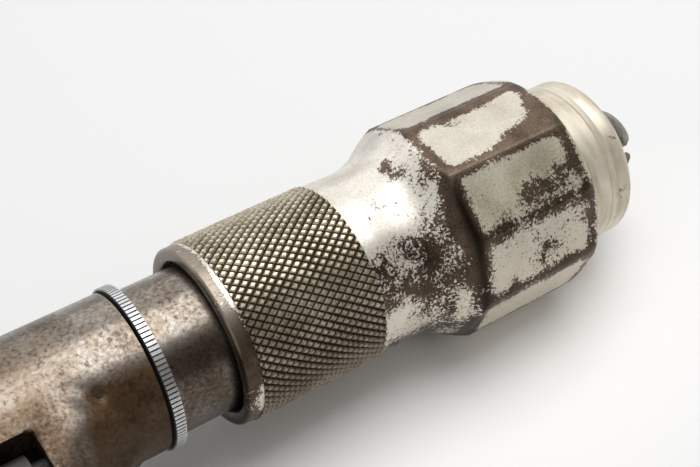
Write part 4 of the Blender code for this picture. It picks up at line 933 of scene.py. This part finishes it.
# %% Shown pieces
SHOWN = ["chuck_spindle", "jaw_upper", "jaw_lower", "pawl_front", "pawl_rear", "pawl_pin_upper",
         "pawl_pin_lower", "pawl_spring", "ratchet_wheel", "rear_bush", "spindle_washer", "spindle_screw",
         "head_knob", "head_plate", "head_screw_1", "head_screw_2", "head_screw_3", "grip_handle",
         "grip_ferrule_front", "grip_ferrule_rear"]
WORN_BRIGHT = {"jaw_upper", "jaw_lower", "head_screw_1", "head_screw_2", "head_screw_3"}
for solid in SHOWN:
    finish = AGED_STEEL if solid in WORN_BRIGHT else FINISH[SLOT_OF[solid]]
    dress(merged_copy(solid, solid + "_finished"), finish, solid)

# %% [markdown]
# ## The forged crank
# The crank is one forging: the barrel of the housing swells into the arm without any crease. The solid has
# that swelling as a few flat faces, and a Subdivision Surface would round the window's edges with it. So the
# housing end is cut off, filled with small even faces by a voxel remesh and smoothed like clay. Points of
# the barrel are then set back on its exact radius, and the window and the front keep their edges.

# %% Cut the crank in two
ARM_CUT = AXIS.y - 53.0 * MM       # across the front arm, where it is a plain bar
FAR_CUT = AXIS.x - 100.0 * MM      # well behind the housing, so the rear of the crank stays with the arms
CUT_WITHIN = 0.001 * MM


def crank_end(name, keep_housing):
    """The housing end of the crank, or all the rest of it, closed where it was cut."""
    piece = merged_copy("crank_frame", name)
    shape = bmesh.new()
    shape.from_mesh(piece.data)
    bmesh.ops.bisect_plane(shape, geom=shape.verts[:] + shape.edges[:] + shape.faces[:], dist=CUT_WITHIN,
                           plane_co=(0.0, ARM_CUT, 0.0), plane_no=(0.0, 1.0, 0.0))
    drop = [f for f in shape.faces
            if (f.calc_center_median().y > ARM_CUT and f.calc_center_median().x > FAR_CUT) != keep_housing]
    bmesh.ops.delete(shape, geom=drop, context="FACES")
    bmesh.ops.holes_fill(shape, edges=[e for e in shape.edges if e.is_boundary])
    bmesh.ops.recalc_face_normals(shape, faces=shape.faces)
    shape.to_mesh(piece.data)
    shape.free()
    return piece


arm = crank_end("crank_arms", False)
housing = crank_end("crank_housing", True)
print("crank cut:", len(arm.data.polygons), "and", len(housing.data.polygons), "faces")

# %% Faces off the barrel
BARREL_R, BORE_R = 13.05 * MM, 12.4 * MM
HOUSING_FRONT, HOUSING_REAR = -12.14 * MM, -54.49 * MM
OIL_HOLE = Vector(on_axis(HOUSING_FRONT - 8.25 * MM, BARREL_R, math.radians(40.0)))
OIL_HOLE_CLEAR = 1.5 * MM
WINDOW_X, WINDOW_Y = (-47.99 * MM, -31.49 * MM), (-21.5 * MM, -9.5 * MM)


def off_barrel(mesh):
    """A search tree of outer faces that aren't the plain barrel: the arm's root and the window's edges."""
    kept = []
    for face in mesh.polygons:
        out = Vector((0.0, face.center.y - AXIS.y, face.center.z - AXIS.z))
        plain = abs(out.length - BARREL_R) < 0.3 * MM and face.normal.dot(out.normalized()) > 0.99
        at_front = face.center.x - AXIS.x > HOUSING_FRONT - 0.3 * MM
        at_oil_hole = (face.center - OIL_HOLE).length <= OIL_HOLE_CLEAR
        if out.length > BORE_R and not (plain or at_front or at_oil_hole):
            kept.append(tuple(face.vertices))
    print("faces off the barrel:", len(kept), "of", len(mesh.polygons))
    return BVHTree.FromPolygons([v.co for v in mesh.vertices], kept)


root_faces = off_barrel(housing.data)

# %% Fill the housing with even faces
VOXEL = 0.42 * MM
remesh = housing.modifiers.new("clay", "REMESH")
remesh.mode = "VOXEL"
remesh.voxel_size = VOXEL
clay = bpy.data.meshes.new_from_object(housing.evaluated_get(bpy.context.evaluated_depsgraph_get()))
housing.modifiers.clear()
housing.data = clay
print("housing filled with", len(clay.polygons), "faces")

# %% Smooth it like clay
SMOOTH_TURNS = 28


def is_clay(co):
    """Points that may be smoothed: outside the bore, off both end faces, the cut and the window's edges."""
    x, y, z = co - AXIS
    reach = math.hypot(y, z)
    in_window = WINDOW_X[0] - MM < x < WINDOW_X[1] + MM and WINDOW_Y[0] - MM < y < WINDOW_Y[1] + MM
    at_rear = x < HOUSING_REAR + 0.99 * MM and reach < BARREL_R + 0.95 * MM
    at_end = x > HOUSING_FRONT - 0.6 * MM or at_rear or y < ARM_CUT - AXIS.y + 2.0 * MM
    return not (in_window or at_end or reach < BORE_R - 0.2 * MM)


shape = bmesh.new()
shape.from_mesh(clay)
soft = [v for v in shape.verts if is_clay(v.co)]
for again in range(SMOOTH_TURNS):
    bmesh.ops.smooth_vert(shape, verts=soft, factor=0.5, use_axis_x=True, use_axis_y=True, use_axis_z=True)
shape.normal_update()
print("smoothed:", len(soft), "of", len(shape.verts), "points")

# %% Set true faces back
POCKET_CORNER = 0.9 * MM           # points this near the pocket's front plane are set back on it
NEAR_BARREL = 0.7 * MM
ROOT_START, ROOT_WIDTH = 0.4 * MM, 2.5 * MM


def is_pocket_front(vert):
    """Points in the corner where the pocket behind the bore begins, which the remesh has filled in."""
    x, y, z = vert.co - AXIS
    return abs(x - WINDOW_X[1]) < POCKET_CORNER and math.hypot(y, z) < BORE_R and vert.normal.x < -0.3


pocket_front = [v for v in shape.verts if is_pocket_front(v)]
for vert in pocket_front:
    vert.co.x = AXIS.x + WINDOW_X[1]
for vert in shape.verts:
    x, y, z = vert.co - AXIS
    reach = math.hypot(y, z)
    if x > HOUSING_FRONT - 0.25 * MM:
        vert.co.x = AXIS.x + HOUSING_FRONT
    if abs(reach - BARREL_R) < NEAR_BARREL and x > HOUSING_REAR + 0.49 * MM:
        from_root = root_faces.find_nearest(vert.co)[3]
        hold = max(0.0, min(1.0, (from_root - ROOT_START) / ROOT_WIDTH))
        grow = 1 + (BARREL_R / reach - 1) * hold
        vert.co.y, vert.co.z = AXIS.y + y * grow, AXIS.z + z * grow
print("pocket's front:", len(pocket_front), "points set back")
shape.to_mesh(clay)
shape.free()
clay.shade_smooth()
clay.set_sharp_from_angle(angle=math.radians(45.0))

# %% [markdown]
# ### The oil hole
# A drop of oil goes in here. On an old tool the hole is nearly full of hardened oil and dust, so it shows as
# a shallow dimple. A short plug with the steel's own finish stands in the hole, a little under the surface.

# %% Dirt in the oil hole
OIL_HOLE_R = 0.7 * MM
DIRT_DEPTH = 0.8 * MM
DIRT_TOP = 0.25 * MM               # how far under the surface the dirt begins
shape = bmesh.new()
way = (OIL_HOLE - Vector((OIL_HOLE.x, AXIS.y, AXIS.z))).normalized()
middle = OIL_HOLE - way * (DIRT_TOP + DIRT_DEPTH / 2)
stand = Matrix.Translation(middle) @ way.to_track_quat("Z", "Y").to_matrix().to_4x4()
bmesh.ops.create_cone(shape, cap_ends=True, segments=24, radius1=OIL_HOLE_R, radius2=OIL_HOLE_R,
                      depth=DIRT_DEPTH, matrix=stand)
dirt_mesh = bpy.data.meshes.new("oil_hole_dirt")
shape.to_mesh(dirt_mesh)
shape.free()
dirt = bpy.data.objects.new("oil_hole_dirt", dirt_mesh)
bpy.context.scene.collection.objects.link(dirt)
dirt_mesh.materials.append(AGED_STEEL)
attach(dirt, BODY_OF["crank_frame"])
print("oil hole filled to", round(DIRT_TOP / MM, 2), "mm under the surface")

# %% [markdown]
# ### Brown patina, and painted shade
# Brown patina has stayed on the side of the barrel towards the arm, where the bow keeps the hand away. Its
# border crosses the barrel near the oil hole. Thinner brown along the edge of the window and on the top
# towards the rear is painted shade, which dims the highlight there. Each is a soft step in the station and
# the turn, and the strongest of the three counts.

# %% Brown patina and painted shade of the housing
points = np.empty(len(clay.vertices) * 3)
clay.vertices.foreach_get("co", points)
points = points.reshape(-1, 3) - np.array(AXIS)
along = points[:, 0]
turned = np.degrees(np.arctan2(-points[:, 1], points[:, 2]) - VIEW_ANGLE)
border = (-23.0 - 0.1 * turned) * MM
by_arm = step_up(turned, -8.0, 5.0) * step_up(along - border, -2.0 * MM, 2.0 * MM)
# The next two are painted shade that dims the highlight: along the window's edge and on the top towards the
# rear.
by_window = step_up(turned, -22.0, -8.0) * (1 - step_up(along, -30.0 * MM, -22.0 * MM))
on_top = step_up(turned, -62.0, -46.0) * (1 - step_up(along, -27.0 * MM, -18.0 * MM))
brown_and_shade = np.maximum(by_arm, np.maximum(0.7 * by_window, 0.38 * on_top))
write_attribute(housing, "brown_and_shade", brown_and_shade)
print("housing:", len(clay.polygons), "faces, brown share", round(float(brown_and_shade.mean()), 2))
for piece in (arm, housing):
    dress(piece, AGED_STEEL, "crank_frame")

# %% [markdown]
# ## Pieces shut inside
# Balls, races, pins and nuts can't be seen, but a part in a library may be opened. They keep the solid's own
# mesh and get the finish of their slot.

# %% Inner pieces
DONE = set(SHOWN) | {"chuck_shell", "nose_collar", "selector_ring", "crank_frame"}
for solid, thing in frame["nodes"].items():
    if solid not in DONE:
        thing.data.materials.clear()
        thing.data.materials.append(FINISH[SLOT_OF[solid]])
print("inner pieces:", len(frame["nodes"]) - len(DONE))

# %% [markdown]
# ## Table and light
# The brace lies on a white table and touches it with its head, its grip and its chuck. Three such points make
# a plane, which is tilted a little against the frame, and the plane is then let down until nothing cuts it.
# A white table throws light back at what lies close to it, most of all under the chuck. A low lamp could add
# that light, but it would fill the shadow too, so the table is a little paler there instead.

# %% Table
HEAD_RIM = Vector((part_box("head_knob")[1][0] - 14.3 * MM, AXIS.y, AXIS.z - 37.5 * MM))
GRIP_LOW, GRIP_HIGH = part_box("grip_handle")
GRIP_UNDER = Vector(((GRIP_LOW[0] + GRIP_HIGH[0]) / 2, (GRIP_LOW[1] + GRIP_HIGH[1]) / 2, GRIP_LOW[2]))
CHUCK_UNDER = Vector((AXIS.x + 55.0 * MM, AXIS.y, AXIS.z - 18.7 * MM))
table_up = (GRIP_UNDER - HEAD_RIM).cross(CHUCK_UNDER - HEAD_RIM).normalized()
table_up *= 1 if table_up.z > 0 else -1
lowest = min((Vector(c) - CHUCK_UNDER).dot(table_up) for thing in frame["nodes"].values()
             for c in (v.co for v in thing.data.vertices))
TABLE_GAP = 0.1 * MM
table_point = CHUCK_UNDER + table_up * (lowest - TABLE_GAP)
side = table_up.orthogonal().normalized()
ahead = table_up.cross(side)
TABLE_HALF = 3.0
corners = [table_point + side * a * TABLE_HALF + ahead * b * TABLE_HALF
           for a, b in ((-1, -1), (1, -1), (1, 1), (-1, 1))]
floor = new_piece("table", corners, [(0, 1, 2, 3)])
if floor.data.polygons[0].normal.dot(table_up) < 0:
    floor.data.flip_normals()
tilt = math.degrees(table_up.angle(Vector((0, 0, 1))))
print("table tilted", round(tilt, 1), "degrees, let down by", round(TABLE_GAP / MM - lowest / MM, 2), "mm")

# %% Table finish
PALE_MIDDLE = AXIS + Vector((35.0, -15.0, -18.0)) * MM
PALE_SHAPE = (1.8, 1.0, 1.0)                   # longer along the chuck
PALE_START, PALE_END = 14.0 * MM, 48.0 * MM
WHITE_TABLE, tree, shader = new_material("white_table", 0.7, 0.0)
stretch = node(tree, "ShaderNodeMapping", vector_type="TEXTURE")
stretch.inputs["Location"].default_value = PALE_MIDDLE
stretch.inputs["Scale"].default_value = PALE_SHAPE
wire(tree, place_of(tree), stretch.inputs["Vector"])
away = node(tree, "ShaderNodeVectorMath", operation="LENGTH")
wire(tree, stretch.outputs["Vector"], away.inputs[0])
fade = span(tree, away.outputs["Value"], PALE_START, PALE_END)
wire(tree, blend(tree, fade, (0.99, 0.98, 0.96), (0.835, 0.835, 0.835)), shader.inputs["Base Color"])
floor.data.materials.append(WHITE_TABLE)
print("table", TABLE_HALF * 2, "m wide")

# %% [markdown]
# ### Lamps
# A wide lamp hangs straight above the table, a little behind and beyond the chuck, and draws the soft shadow
# towards the viewer. Round metal also wants something long to mirror, or it looks dull. So a panel stands far
# behind it that only reflections can see, because its light on the table would wash out the shadow.


# %% Light
def area_light(name, place, target, size, power):
    """A rectangular lamp, its size in metres and its power in watts, that looks at a target."""
    data = bpy.data.lights.new(name, "AREA")
    data.shape = "RECTANGLE"
    data.size, data.size_y = size
    data.energy = power
    lamp = bpy.data.objects.new(name, data)
    lamp.location = place
    lamp.rotation_euler = (Vector(target) - Vector(place)).to_track_quat("-Z", "Y").to_euler()
    bpy.context.scene.collection.objects.link(lamp)
    return lamp


CHUCK_MIDDLE = AXIS + Vector((35.0 * MM, 0.0, 0.0))
LAMP_OVER = CHUCK_MIDDLE + Vector((0.24, 0.18, 0.0))
LAMP_HEIGHT = Vector((0.0, 0.0, 1.0))
PANEL_PLACE = CHUCK_MIDDLE + Vector((0.10, 1.3, 0.65))
area_light("overhead_soft", LAMP_OVER + LAMP_HEIGHT, LAMP_OVER, (0.80, 0.95), 7.8)
panel = area_light("back_panel", PANEL_PLACE, CHUCK_MIDDLE, (3.0, 1.1), 9.0)
panel.visible_diffuse = False
print("lights:", len(bpy.data.lights))

# %% [markdown]
# ### The room
# Polished metal shows the room it lies in. One side of this room is dark, which is why a brown band runs
# along the neck and the waist. A single world colour can't do that, so the world has three faces, picked by
# the Light Path node. Reflections see a pale room with one dark side, given by a direction. Soft light comes
# from a bright ceiling only, so that it leaves a shadow. The camera sees a plain pale backdrop.

# %% What reflections see
DARK_SIDE = Vector((0.43, -0.83, 0.37)).normalized()
world = bpy.data.worlds.new("studio")
world.use_nodes = True
tree = world.node_tree
towards = node(tree, "ShaderNodeTexCoord").outputs["Generated"]
aim = node(tree, "ShaderNodeVectorMath", operation="DOT_PRODUCT")
wire(tree, towards, aim.inputs[0])
aim.inputs[1].default_value = DARK_SIDE
room = node(tree, "ShaderNodeBackground")
dark = span(tree, aim.outputs["Value"], 0.66, 0.88)
wire(tree, blend(tree, dark, (0.55, 0.55, 0.56), (0.080, 0.052, 0.034)), room.inputs["Color"])
print("dark side lies towards", [round(v, 2) for v in DARK_SIDE])

# %% What gives soft light, and what the camera sees
heights = node(tree, "ShaderNodeSeparateXYZ")
wire(tree, towards, heights.inputs[0])
ceiling = tree.nodes["Background"]
high = span(tree, heights.outputs["Z"], 0.30, 0.75)
wire(tree, blend(tree, high, (0.03, 0.026, 0.022), (0.70, 0.70, 0.70)), ceiling.inputs["Color"])
backdrop = node(tree, "ShaderNodeBackground")
backdrop.inputs["Color"].default_value = (0.91, 0.91, 0.91, 1.0)
print("ceiling and backdrop ready")

# %% Pick one by the kind of ray
seen = node(tree, "ShaderNodeLightPath")
mirrored = node(tree, "ShaderNodeMixShader")
wire(tree, seen.outputs["Is Glossy Ray"], mirrored.inputs["Fac"])
wire(tree, ceiling.outputs[0], mirrored.inputs[1])
wire(tree, room.outputs[0], mirrored.inputs[2])
pick = node(tree, "ShaderNodeMixShader")
wire(tree, seen.outputs["Is Camera Ray"], pick.inputs["Fac"])
wire(tree, mirrored.outputs[0], pick.inputs[1])
wire(tree, backdrop.outputs[0], pick.inputs[2])
wire(tree, pick.outputs[0], tree.nodes["World Output"].inputs["Surface"])
bpy.context.scene.world = world
print("world:", len(tree.nodes), "nodes")
